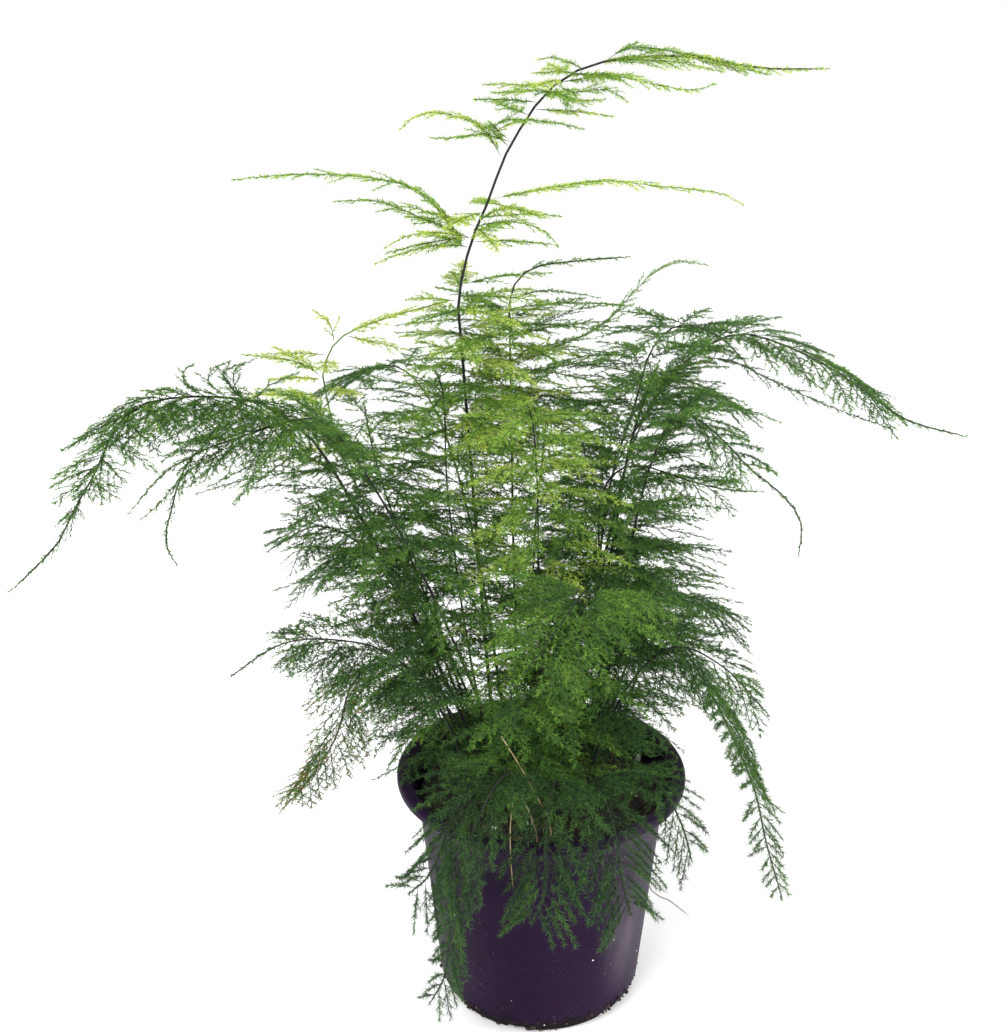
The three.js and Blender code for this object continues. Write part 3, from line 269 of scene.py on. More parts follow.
        (-108, -52, 200), (-128, -53, 186),
    ], [
        Comb(0.4, 0.84, 40, 54, 12, 55, 0, 0.28, 12, (-0.2, -0.9, -0.35)),
        Whorl(0.5, 0.8, 16, 38, 28, 0, 0.2, 10, 150, 330),
    ]),
    Frond("frond_left_drooping", "leaf", (1, 0.5), 0.8, 8, [
        (-17, -19, 88), (-19, -20, 108), (-42, -24, 158), (-66, -29, 180), (-80, -36, 174),
        (-87, -41, 152), (-99, -44, 133), (-113, -44, 116),
    ], [
        Comb(0.42, 0.92, 36, 44, 14, 50, 0, 0.24, 11, (-0.5, -0.7, 0.3)),
    ]),
    Frond("frond_front_trailing_left", "leaf", (1, 0.5), 0.5, 5, [
        (-14, -28, 88), (-15, -30, 108), (-22, -48, 138), (-30, -66, 144), (-39, -76, 130),
        (-47, -76, 108), (-57, -68, 92),
    ], [
        Comb(0.3, 0.96, 32, 36, 18, 42, 0, 0.3, 6),
    ]),
    Frond("frond_front_trailing_long", "leaf", (1.1, 0.5), 0.5, 5, [
        (-5, -30, 88), (-6, -32, 108), (-12, -54, 142), (-20, -71, 147), (-28, -80, 134),
        (-34, -80, 116), (-38, -78, 95), (-40, -74, 74), (-42, -70, 52), (-49, -66, 34),
    ], [
        Comb(0.3, 0.97, 40, 30, 12, 38, 0, 0.24, 6),
    ]),
    Frond("frond_front_trailing_middle", "leaf", (1, 0.5), 0.5, 5, [
        (4, -30, 88), (5, -32, 108), (5, -54, 138), (2, -72, 142), (0, -81, 126), (0, -81, 104),
        (-5, -77, 84),
    ], [
        Comb(0.28, 0.96, 34, 38, 18, 42, 0, 0.3, 6),
    ]),
    Frond("frond_front_trailing_right", "leaf", (1, 0.5), 0.5, 5, [
        (13, -27, 88), (14, -29, 108), (19, -50, 136), (24, -69, 140), (29, -78, 124), (32, -78, 104),
        (36, -74, 86),
    ], [
        Comb(0.28, 0.96, 34, 38, 18, 42, 0, 0.3, 6),
    ]),
    Frond("frond_front_trailing_side", "leaf", (1, 0.5), 0.5, 5, [
        (23, -20, 88), (25, -22, 108), (36, -42, 134), (48, -57, 138), (57, -62, 122), (62, -62, 104),
    ], [
        Comb(0.3, 0.95, 22, 28, 14, 42, 0, 0.26, 6),
    ]),
    Frond("frond_right_centre", "dark", (1.2, 0.5), 0.9, 10, [
        (12, -10, 88), (13, -11, 108), (20, -8, 180), (30, -6, 240), (38, -6, 280), (46, -8, 306),
    ], [
        Whorl(0.76, 0.98, 29, 50, 36, 8, 0.16, 12),
    ]),
    Frond("frond_left_level", "leaf", (1.2, 0.5), 0.9, 10, [
        (-16, 2, 88), (-18, 2, 108), (-44, 0, 180), (-62, -2, 232), (-70, -4, 262), (-74, -6, 288),
    ], [
        Whorl(0.5, 0.98, 57, 46, 36, 6, 0.16, 12),
    ]),
    Frond("frond_core_front", "leaf", (1, 0.5), 0.85, 12, [
        (-8, -17, 88), (-9, -19, 108), (-12, -38, 150), (-14, -54, 182),
    ], [
        Whorl(0.25, 0.95, 34, 42, 30, 12, 0.3, 11),
    ]),
    Frond("frond_core_right", "dark", (1, 0.5), 0.85, 12, [
        (13, -5, 88), (14, -7, 108), (26, -14, 160), (42, -20, 222),
    ], [
        Whorl(0.35, 0.97, 43, 46, 34, 8, 0.24, 12),
    ]),
    Frond("frond_core_left", "dark", (1, 0.5), 0.85, 12, [
        (-35, 3, 88), (-37, 3, 108), (-50, 4, 150), (-62, 4, 178),
    ], [
        Whorl(0.25, 0.95, 40, 42, 28, 12, 0.3, 11),
    ]),
    Frond("frond_core_middle", "dark", (1, 0.5), 0.9, 12, [
        (0, 4, 88), (0, 4, 108), (2, 0, 160), (4, -5, 215),
    ], [
        Whorl(0.26, 0.97, 52, 46, 34, 10, 0.2, 12),
    ]),
    Frond("frond_core_back", "dark", (1, 0.5), 0.9, 12, [
        (4, 19, 88), (4, 21, 108), (8, 33, 160), (12, 43, 205),
    ], [
        Whorl(0.35, 0.97, 25, 46, 34, 10, 0.2, 12),
    ]),
    Frond("frond_back_arch_left", "dark", (1.4, 0.5), 0.82, 13, [
        (-14, 26, 88), (-15, 28, 108), (-28, 50, 190), (-45, 72, 250), (-65, 92, 272), (-88, 108, 262),
        (-108, 120, 240),
    ], [
        Comb(0.4, 0.92, 34, 56, 24, 55, 0.08, 0.25, 12),
    ]),
    Frond("frond_back_arch_right", "dark", (1.4, 0.5), 0.82, 13, [
        (14, 24, 88), (15, 26, 108), (27, 48, 180), (42, 70, 240), (60, 88, 262), (82, 104, 255),
        (100, 115, 235),
    ], [
        Comb(0.4, 0.92, 34, 56, 24, 55, 0.08, 0.25, 12),
    ]),
    Frond("frond_back_centre", "leaf", (1.3, 0.5), 0.82, 13, [
        (-4, 31, 88), (-4, 33, 108), (-3, 56, 190), (2, 80, 240), (4, 100, 252), (6, 120, 240),
        (8, 134, 216),
    ], [
        Comb(0.4, 0.92, 34, 54, 24, 55, 0.06, 0.25, 12),
    ]),
    Frond("frond_back_low_left", "dark", (1.2, 0.5), 0.8, 13, [
        (-27, 24, 88), (-29, 26, 108), (-50, 58, 160), (-74, 82, 185), (-97, 98, 172), (-113, 108, 146),
    ], [
        Comb(0.35, 0.92, 28, 48, 22, 55, 0.04, 0.25, 12),
    ]),
    Frond("frond_back_low_right", "dark", (1.2, 0.5), 0.8, 13, [
        (25, 18, 88), (27, 20, 108), (44, 48, 148), (62, 72, 164), (80, 88, 152), (94, 98, 128),
    ], [
        Comb(0.35, 0.92, 28, 48, 22, 55, 0.04, 0.25, 12),
    ]),
    Frond("frond_back_trailing", "leaf", (1.1, 0.5), 0.8, 12, [
        (7, 34, 88), (8, 36, 108), (14, 58, 140), (18, 76, 142), (20, 85, 122), (20, 84, 92),
        (16, 78, 62),
    ], [
        Comb(0.38, 0.92, 28, 32, 16, 50, 0, 0.2, 9),
    ]),
]

# Dead stems that carry no needles: name, colour slot, radius at foot and tip, and route
DRY_STEMS = [
    ("dry_stalk_front", "straw", (0.9, 0.6), [
        (4, -36, 88), (3, -38, 107), (-2, -46, 124), (-9, -50, 141), (-18, -54, 160),
    ]),
    ("dry_stalk_over_rim", "straw", (0.8, 0.5), [
        (-2, -42, 88), (-3, -45, 107), (-8, -58, 130), (-12, -67, 140), (-14, -75, 133), (-14, -78, 118),
        (-13, -79, 103),
    ]),
    ("dry_twig_right", "brown", (1, 0.5), [
        (33, 20, 88), (34, 22, 106), (38, 40, 122), (41, 56, 124), (42, 60, 108), (41, 55, 78), (46, 42, 50),
        (54, 27, 29), (64, 21, 25), (74, 19, 17),
    ]),
]

# The pot's outside as height and radius, its rim, and the compost's level and roughness
FOOT_R = 42
RIM_R = 65
RIM_INNER_R = 57.8
POT_HEIGHT = 113
POT_OUTSIDE = [
    (0, FOOT_R), (7, 46.2), (90, 54.5), (101, 57.6), (106.4, 61.8), (108.6, RIM_R), (POT_HEIGHT, RIM_R),
]
SOIL_Z = 100
SOIL_ROUGHNESS = 1.1

# Ribs and needles keep out of the rim, from the first radius outwards, and below the compost's level they
# keep out of all that is within the second
RIM_FROM_R = 56.5
POT_BODY_R = 57

# How far a rib stays from every other one and from the pot, and the turns and lengths it tries to get there
RIB_CLEARANCE = 2.8
POT_CLEARANCE = 2
RIB_TURNS = [
    (0, 0), (6, 0), (-6, 0), (0, 6), (0, -6), (12, 0), (-12, 0), (0, 12), (6, 8), (-6, 8), (0, -12),
    (18, 0), (-18, 0), (18, 8), (-18, 8), (0, 20), (26, 4), (-26, 4),
]
RIB_SHORTENINGS = (1, 0.8, 0.6)

# A rib's straight pieces, how far round the stem each rib of a whorl stands from the one before, and one in
# how many of a group's ribs stands in the frame
RIB_PIECES = 8
GOLDEN_TURN = 0.618
KEPT_RIBS = 11


def unit(v):
    return v / np.maximum(np.linalg.norm(v, axis=-1, keepdims=True), 1e-12)


def lerp(a, b, t):
    return a + (b - a) * t


def draw(a, b, c):
    """A repeatable draw between 0 and 1 for three whole numbers."""
    v = math.sin(a * 12.9898 + b * 78.233 + c * 37.719) * 43758.5453
    return v - math.floor(v)


def smooth(points, steps):
    """A Catmull-Rom curve through the points."""
    p = np.array(points, float)
    p = np.vstack([2 * p[0] - p[1], p, 2 * p[-1] - p[-2]])
    place = np.linspace(0, len(points) - 1, steps + 1)
    i = np.minimum(place.astype(int), len(points) - 2)
    w = (place - i)[:, None]
    before, start, end, after = p[i], p[i + 1], p[i + 2], p[i + 3]
    t0, t1 = (end - before) / 2, (after - start) / 2
    return start + t0 * w + (3 * (end - start) - 2 * t0 - t1) * w**2 + (2 * (start - end) + t0 + t1) * w**3


class Route:
    """A line with its length measured, so that points are found by their share of it."""

    def __init__(self, points):
        self.points = np.array(points, float)
        steps = np.linalg.norm(np.diff(self.points, axis=0), axis=1)
        self.sums = np.concatenate([[0], np.cumsum(steps)])
        self.length = self.sums[-1]

    def at(self, share):
        s = np.clip(share, 0, 1) * self.length
        return np.stack([np.interp(s, self.sums, self.points[:, k]) for k in range(3)], -1)

    def tangent(self, share):
        return unit(self.at(share + 0.01) - self.at(share - 0.01))

    def nearest(self, point):
        return self.points[np.argmin(np.linalg.norm(self.points - point, axis=1))]


def pot_radius(z):
    heights, radii = zip(*POT_OUTSIDE)
    return np.interp(z, heights, radii)


def meets_pot(points, gap):
    """Which points lie in the pot's rim, or in the pot below the compost's level, or closer than the gap."""
    z = points[..., 2]
    r = np.hypot(points[..., 0], points[..., 1])
    rim = (z < POT_HEIGHT + gap) & (r < pot_radius(z) + gap) & (r > RIM_FROM_R - gap)
    body = (z < SOIL_Z + SOIL_ROUGHNESS + gap) & (r <= POT_BODY_R)
    return rim | body


def gaps(start, end, a, b):
    """The least distances between one straight piece and many."""
    along, others, apart = end - start, b - a, start - a
    l1 = along @ along
    l2 = np.maximum((others * others).sum(1), 1e-9)
    f = (others * apart).sum(1)
    c = apart @ along
    k = others @ along
    area = l1 * l2 - k * k
    s = np.where(area > 1e-9, np.clip((k * f - c * l2) / np.maximum(area, 1e-9), 0, 1), 0)
    t = (k * s + f) / l2
    s = np.where(t < 0, np.clip(-c / l1, 0, 1), np.where(t > 1, np.clip((k - c) / l1, 0, 1), s))
    t = np.clip(t, 0, 1)
    return np.linalg.norm(apart + s[:, None] * along - t[:, None] * others, axis=1)


class Placed:
    """Every straight piece of stem and rib so far, with the number of the frond that it belongs to."""

    def __init__(self):
        self.a = np.zeros((0, 3))
        self.b = np.zeros((0, 3))
        self.owner = np.zeros(0, int)

    def add(self, points, owner):
        self.a = np.vstack([self.a, points[:-1]])
        self.b = np.vstack([self.b, points[1:]])
        self.owner = np.concatenate([self.owner, np.full(len(points) - 1, owner)])

    def is_clear(self, points, owner):
        """Whether a rib keeps clear of all that is placed. Close to its root it may meet its own frond."""
        low, high = points.min(0) - RIB_CLEARANCE, points.max(0) + RIB_CLEARANCE
        near = np.all((np.minimum(self.a, self.b) < high) & (np.maximum(self.a, self.b) > low), axis=1)
        a, b, owners = self.a[near], self.b[near], self.owner[near]
        for i in range(len(points) - 1):
            start = lerp(points[0], points[1], 0.6) if i == 0 else points[i]
            found = gaps(start, points[i + 1], a, b)
            if i <= 1:
                found = found[owners != owner]
            if found.size and found.min() < RIB_CLEARANCE:
                return False
        return True


def turned(v, axis, degrees):
    """A direction turned about an axis."""
    a = math.radians(degrees)
    return v * math.cos(a) + np.cross(axis, v) * math.sin(a) + axis * (axis @ v) * (1 - math.cos(a))


def rib_direction(group, i, owner, number, tangent, side):
    """The way a rib leaves its stem: all round it in a whorl, to either side in turn in a comb."""
    if isinstance(group, Whorl):
        turn = (i * GOLDEN_TURN + 0.31 + 0.05 * draw(owner, number, 3)) % 1
        azimuth = math.radians(lerp(group.from_azimuth, group.to_azimuth, turn))
        rise = math.radians(group.lift + 8 * (draw(owner, number, 4) - 0.5))
        flat = np.array([math.cos(azimuth), math.sin(azimuth), 0])
        return flat * math.cos(rise) + UP * math.sin(rise)
    spread = math.radians(group.spread + 12 * (draw(owner, number, 3) - 0.5))
    across = np.array(group.side, float) if group.side else side
    flat = unit(across - tangent * (across @ tangent))
    way = 1 if i % 2 == 0 else -1
    lift = group.lift + 0.16 * (draw(owner, number, 4) - 0.5)
    return unit(tangent * math.cos(spread) + flat * way * math.sin(spread) + UP * lift)


def fitted_rib(root, direction, length, sag, owner, placed):
    """The first turn and length of a rib that keep it clear of the pot and of what is placed."""
    t = np.linspace(0, 1, RIB_PIECES + 1)[:, None]
    for share in RIB_SHORTENINGS:
        for swing, lift in RIB_TURNS:
            way = turned(direction, UP, swing)
            way = turned(way, unit(np.cross(way, UP)), lift)
            points = root + length * share * (way * t - UP * sag * t**2)
            if meets_pot(points, POT_CLEARANCE).any():
                continue
            if placed is None or placed.is_clear(points, owner):
                return points
    return None


def grow_ribs(frond, owner, stem, placed):
    """All ribs of a frond, as (points, longest branchlet). The frame's own ribs keep clear of each other,
    and the finer ones between them only of the pot."""
    ribs = []
    heading = unit((stem.at(1) - stem.at(0.1)) * (1, 1, 0))
    side = np.array([-heading[1], heading[0], 0])
    number = 0
    for group in frond.groups:
        if isinstance(group, Single):
            points = smooth(group.points, 10)
            points[0] = stem.nearest(points[0])
            ribs.append((points, group.longest_branchlet))
            placed.add(points, owner)
            number += 1
            continue
        for i in range(group.count):
            in_frame = i % KEPT_RIBS == 0
            u = (i + 0.5) / group.count
            share = lerp(group.start, group.end, u + (draw(owner, number, 1) - 0.5) * 0.5 / group.count)
            length = lerp(group.first_length, group.last_length, u)
            length *= 0.85 + 0.3 * draw(owner, number, 2)
            way = rib_direction(group, i, owner, number, stem.tangent(share), side)
            others = placed if in_frame else None
            points = fitted_rib(stem.at(share), way, length, group.sag, owner, others)
            if points is not None:
                ribs.append((points, group.longest_branchlet))
                if in_frame:
                    placed.add(points, owner)
            number += 1
    return ribs


def tube_faces(rings, sides):
    """The triangles of one closed tube: its first point, its rings and its last point."""
    ring = 1 + np.arange(rings * sides).reshape(rings, sides)
    ahead = np.roll(ring, -1, axis=1)
    last = rings * sides + 1
    faces = [(0, b, a) for a, b in zip(ring[0], ahead[0])]
    for i in range(rings - 1):
        for a, b, c, d in zip(ring[i], ahead[i], ahead[i + 1], ring[i + 1]):
            faces += [(a, b, c), (a, c, d)]
    faces += [(a, b, last) for a, b in zip(ring[-1], ahead[-1])]
    return np.array(faces)


class Tubes:
    """Gathers closed tubes for stems and twigs, and flat needles, and makes one mesh of them."""

    def __init__(self):
        self.points = []
        self.faces = []
        self.materials = []
        self.sharp = []
        self.values = {"tone": [], "dry": []}
        self.count = 0

    def gather(self, points, faces, material, sharp, tone, dry):
        """Adds triangles on points of their own, which have a tone and a dryness each."""
        self.points.append(points)
        self.faces.append(self.count + faces)
        self.materials.append(np.full(len(faces), material))
        self.sharp.append(np.full(len(faces), sharp))
        self.values["tone"].append(tone)
        self.values["dry"].append(dry)
        self.count += len(points)

    def add(self, lines, radii, sides, guides, material, tone):
        """lines is (tubes, rings + 2, 3), from one pointed end to the other, and radii (tubes, rings)."""
        n, rings = radii.shape
        ahead = unit(lines[:, 2:] - lines[:, :-2])
        across = unit(np.cross(ahead, guides[:, None, :]))
        top = np.cross(across, ahead)
        angle = 2 * math.pi * np.arange(sides)[:, None] / sides
        around = across[:, :, None] * np.cos(angle) + top[:, :, None] * np.sin(angle)
        ring_points = lines[:, 1:-1, None] + around * radii[:, :, None, None]
        points = np.concatenate([lines[:, :1], ring_points.reshape(n, -1, 3), lines[:, -1:]], axis=1)
        each = rings * sides + 2
        faces = tube_faces(rings, sides)[None] + np.arange(n)[:, None, None] * each
        tones, dry = np.full(n * each, tone), np.zeros(n * each)
        self.gather(points.reshape(-1, 3), faces.reshape(-1, 3), material, False, tones, dry)

    def add_needles(self, roots, tips, across, tones, dry):
        """Needles as flat as they are fine, each one triangle that is palest at its tip."""
        points = np.stack([roots - across, roots + across, tips], 1).reshape(-1, 3)
        faces = np.arange(len(points)).reshape(-1, 3)
        shades = tones[:, None] + np.array([ROOT_SHADE, ROOT_SHADE, TIP_SHADE])
        self.gather(points, faces, NEEDLE, True, shades.ravel(), np.repeat(dry, 3))

    def mesh(self, name):
        points = np.concatenate(self.points) * MM
        faces = np.concatenate(self.faces)
        mesh = bpy.data.meshes.new(name)
        mesh.vertices.add(len(points))
        mesh.vertices.foreach_set("co", points.astype(np.float32).ravel())
        mesh.loops.add(faces.size)
        mesh.loops.foreach_set("vertex_index", faces.astype(np.int32).ravel())
        mesh.polygons.add(len(faces))
        mesh.polygons.foreach_set("loop_start", np.arange(0, faces.size, 3, dtype=np.int32))
        mesh.polygons.foreach_set("material_index", np.concatenate(self.materials).astype(np.int32))
        sharp = mesh.attributes.new("sharp_face", "BOOLEAN", "FACE")
        sharp.data.foreach_set("value", np.concatenate(self.sharp))
        for key, values in self.values.items():
            attribute = mesh.attributes.new(key, "FLOAT", "POINT")
            attribute.data.foreach_set("value", np.concatenate(values).astype(np.float32))
        mesh.update(calc_edges=True)
        return mesh


# The material of a face, by its number
STEM, NEEDLE = 0, 1

# How thick the fine stems are, as shares of the frame's, and their ribs and twigs in mm
STEM_SHARE = 0.58
STALK_SHARE = 0.45
RIB_RADII = (0.24, 0.1)
TWIG_RADIUS = 0.13

# The rings of a tube, and the points of the line along which a rib's own needles stand
STEM_RINGS = 40
RIB_RINGS = 7
SPINE_POINTS = 12

# Tones run from 0, the darkest green, to 1, the palest. Those of a rib, of its twigs and of their needles
# spread round the tone of their frond. They are paler higher up, and to the tips of ribs and needles
TONES = {"dark": 0.4, "leaf": 0.52, "fresh": 0.78, "young": 0.96}
STEM_TONES = {"dark": 0.1, "leaf": 0.16, "fresh": 0.12, "young": 0.75}
RIB_TONE_SHARE = 0.6
RIB_SPREAD, TWIG_SPREAD, NEEDLE_SPREAD = 0.22, 0.14, 0.3
MIDDLE_HEIGHT, HEIGHT_SPAN, HEIGHT_SHADE = 225, 110, 0.09
TWIG_RISE = 0.12
ROOT_SHADE = -0.2
TIP_SHADE = 0.14


@dataclass(frozen=True)
class Habit:
    """How the sprays of a frond are built: steps and lengths in mm, angles in degrees. The needles' flatness
    is how far they stand out of the plane of the spray, and dry is the share of brown ones at its tips."""

    branchlet_step: float = 2.6
    branchlet_size: float = 1
    branchlet_angle: float = 46
    spine_step: float = 0.3
    needle_step: float = 0.3
    needle_length: float = 3.2
    needle_angle: tuple = (28, 72)
    needle_half: float = 0.19
    flatness: float = 0.6
    shade: float = 0
    dry: float = 0


LEVEL = Habit()
TRAILING = Habit(
    branchlet_step=3.4, branchlet_size=0.95, branchlet_angle=36, spine_step=0.19, needle_step=0.32,
    needle_length=4.3, needle_angle=(24, 66), needle_half=0.16, flatness=1.0, shade=-0.16,
)
HABITS = {
    "frond_leader": replace(LEVEL, branchlet_step=2.2, branchlet_size=1.15, needle_length=3.5),
    "frond_left_young": replace(LEVEL, branchlet_step=2.1, branchlet_size=1.5, needle_length=3.7),
    "frond_left_arch": replace(LEVEL, shade=0.03),
    "frond_left_centre": replace(LEVEL, shade=0.03),
    "frond_front_bright": replace(LEVEL, shade=0.03),
    "frond_left_drooping": replace(LEVEL, dry=0.9),
    "frond_right_trailing": replace(TRAILING, needle_length=4.8, shade=0),
}

# The short ribs that only the fine piece has: how many stand low on each tall stem, and at what heights
TALL_STEM = 200
LOW_RIBS = 8
LOW_RIBS_FROM, LOW_RIBS_TO = 113, 185
LOW_RIB_LENGTHS = (18, 34)
LOW_RIB_LIFT, LOW_RIB_SAG = 0.3, 0.25
LOW_RIB_BRANCHLET = 9

# A rib is bare for a few mm from its root, or for a share of it if it is short. Its branchlets bend to its
# tip and droop by these shares of their length
BARE_LENGTH, BARE_SHARE = 4, 0.12
BRANCHLET_BEND, BRANCHLET_DROOP = 0.22, 0.1

# Needles begin at this share of their branchlet. They are a little shorter on the rib itself, and shorten to
# the tip of each branchlet and to the tip of the rib
NEEDLES_FROM = 0.02
ON_RIB_SIZE = 0.9
SHORTER_TO_TIP, SHORTER_UP_RIB = 0.35, 0.4


def branchlet_share(places):
    """Branchlets are longest at a fifth of their rib and shrink to its tip."""
    rise = 0.5 + 0.5 * np.minimum(1, places / 0.2)
    return rise * (1 - places) ** 0.85 * 0.94 + 0.06


def curved(roots, ways, lengths, turn_to, pieces):
    """Lines that leave their roots one way, turn a little to another and droop."""
    t = np.linspace(0, 1, pieces + 1)[None, :, None]
    bend = (turn_to - ways)[:, None, :] * BRANCHLET_BEND * t**2
    line = ways[:, None, :] * t + bend - UP * BRANCHLET_DROOP * t**2
    return roots[:, None, :] + lengths[:, None, None] * line


def along(lines, index, share):
    """The point and direction at a share of each of the lines picked by index."""
    pieces = lines.shape[1] - 1
    place = share * pieces
    i = np.minimum(place.astype(int), pieces - 1)
    w = (place - i)[:, None]
    start, end = lines[index, i], lines[index, i + 1]
    return start + (end - start) * w, unit(end - start)


def spaced(lengths, step, first, rng):
    """For each line the shares at which something grows every step along it, with the line's number."""
    counts = np.maximum(np.round(lengths * (1 - first) / step).astype(int), 1)
    index = np.repeat(np.arange(len(lengths)), counts)
    order = np.arange(len(index)) - np.repeat(np.cumsum(counts) - counts, counts)
    share = first + (1 - first) * (order + 0.5 + 0.5 * (rng.random(len(index)) - 0.5)) / counts[index]
    return index, share


def branchlets(route, first, longest, habit, rng):
    """Branchlets that stand out flat from a rib on alternate sides, and lean to its tip. Returns their
    lines, their lengths, the directions across their planes and their places along the rib."""
    count = max(2, round(route.length * (1 - first) / habit.branchlet_step))
    k = np.arange(count)
    places = (k + 0.55) / (count + 0.25)
    share = first + (1 - first) * places
    tangent = route.tangent(share)
    side = unit(np.cross(tangent, UP)) * np.where(k % 2, 1, -1)[:, None]
    angle = np.radians(habit.branchlet_angle + 16 * (rng.random(count) - 0.5))[:, None]
    tilt = (0.5 * (rng.random(count) - 0.5))[:, None]
    ways = unit(tangent * np.cos(angle) + side * np.sin(angle) + UP * tilt)
    lengths = longest * habit.branchlet_size * branchlet_share(places) * (0.7 + 0.6 * rng.random(count))
    lines = curved(route.at(share), ways, lengths, tangent, 3)
    across = np.cross(ways, tangent)
    planes = unit(across * np.where(across[:, 2:] < 0, -1, 1))
    return lines, lengths, planes, places


def add_needles(tubes, lines, lengths, planes, tones, sizes, step, habit, rng):
    """Fine needles all round and all along the lines, a little flattened into the plane of the spray."""
    index, share = spaced(lengths, step, NEEDLES_FROM, rng)
    n = len(index)
    roots, ahead = along(lines, index, share)
    normal = planes[index]
    side = unit(np.cross(normal, ahead))
    normal = np.cross(ahead, side)
    around = 2 * math.pi * rng.random(n)
    out = unit(side * np.cos(around)[:, None] + normal * habit.flatness * np.sin(around)[:, None])
    low, high = habit.needle_angle
    open_to = np.radians(low + (high - low) * rng.random(n))[:, None]
    reach = sizes[index] * habit.needle_length * (0.6 + 0.6 * rng.random(n)) * (1 - SHORTER_TO_TIP * share)
    way = ahead * np.cos(open_to) + out * np.sin(open_to)
    tips = roots + way * reach[:, None]
    across = unit(np.cross(way, rng.normal(size=(n, 3)))) * habit.needle_half
    keep = ~meets_pot(tips, 0.3)
    height = np.clip((roots[:, 2] - MIDDLE_HEIGHT) / HEIGHT_SPAN, -1, 1)
    tones = tones[index] + NEEDLE_SPREAD * (rng.random(n) - 0.5) + HEIGHT_SHADE * height
    dry = habit.dry * (rng.random(n) < share**3)
    tubes.add_needles(roots[keep], tips[keep], across[keep], tones[keep], dry[keep])


def guides_for(lines):
    """A direction across each line, from which its tube's sides are laid out."""
    ahead = unit(lines[:, -1] - lines[:, 0])
    upright = np.abs(ahead[:, 2:]) > 0.9
    return np.where(upright, np.array([0.0, -1.0, 0.0]), UP)


def tapered(root, tip, rings, count=1):
    """The radii of tubes that taper from root to tip."""
    return np.tile(np.linspace(root, tip, rings), (count, 1))


def low_ribs(stem, rng):
    """Short ribs low on a tall stem, where it would be bare among the bushy fronds."""
    if stem.points[:, 2].max() < TALL_STEM:
        return []
    ribs = []
    t = np.linspace(0, 1, RIB_PIECES + 1)[:, None]
    for i in range(LOW_RIBS):
        height = lerp(LOW_RIBS_FROM, LOW_RIBS_TO, (i + rng.random()) / LOW_RIBS)
        root = stem.points[np.argmax(stem.points[:, 2] > height)]
        azimuth = 2 * math.pi * rng.random()
        way = np.array([math.cos(azimuth), math.sin(azimuth), LOW_RIB_LIFT])
        length = lerp(*LOW_RIB_LENGTHS, rng.random())
        points = root + length * (way * t - UP * LOW_RIB_SAG * t**2)
        if not meets_pot(points, 1).any():
            ribs.append((points, LOW_RIB_BRANCHLET))
    return ribs


def stem_tube(tubes, stem, radii, sides, guide, material, tone):
    """One tube along a whole stem."""
    line = stem.at(np.linspace(0, 1, STEM_RINGS + 2))[None]
    tubes.add(line, tapered(*radii, STEM_RINGS), sides, guide, material, tone)


def dress(frond, owner, stem, ribs):
    """The fine piece that stands for one frond of the frame."""
    rng = np.random.default_rng(1000 + owner)
    tubes = Tubes()
    habit = HABITS.get(frond.name, TRAILING if "trailing" in frond.name else LEVEL)
    base = TONES[frond.slot] + habit.shade
    heading = unit((stem.at(1) - stem.at(0.1)) * (1, 1, 0))
    side = np.array([[-heading[1], heading[0], 0]])
    radii = [r * STEM_SHARE for r in frond.radii]
    stem_tube(tubes, stem, radii, 6, side, STEM, STEM_TONES[frond.slot])

    spines = []
    for points, longest in [*ribs, *low_ribs(stem, rng)]:
        route = Route(points)
        spines.append((route, min(BARE_LENGTH / route.length, BARE_SHARE), longest))
    spines.append((stem, frond.tip_from, frond.tip_branchlet))
    for route, first, longest in spines:
        tone = base + RIB_SPREAD * (rng.random() - 0.5)
        if route is not stem:
            line = route.at(np.linspace(0, 1, RIB_RINGS + 2))[None]
            tubes.add(line, tapered(*RIB_RADII, RIB_RINGS), 3, guides_for(line), STEM, RIB_TONE_SHARE * base)
        spine = route.at(np.linspace(first, 1, SPINE_POINTS))[None]
        length = np.array([route.length * (1 - first)])
        planes, tones, sizes = guides_for(spine), np.array([tone]), np.array([ON_RIB_SIZE])
        add_needles(tubes, spine, length, planes, tones, sizes, habit.spine_step, habit, rng)
        lines, lengths, planes, places = branchlets(route, first, longest, habit, rng)
        tones = tone + TWIG_RISE * places + TWIG_SPREAD * (rng.random(len(places)) - 0.5)
        sizes = 1 - SHORTER_UP_RIB * places
        twigs = lines[:, (0, 1, 3)]
        radii = tapered(TWIG_RADIUS, TWIG_RADIUS, 1, len(lines))
        tubes.add(twigs, radii, 3, guides_for(lines), STEM, base)
        add_needles(tubes, lines, lengths, planes, tones, sizes, habit.needle_step, habit, rng)
    return tubes


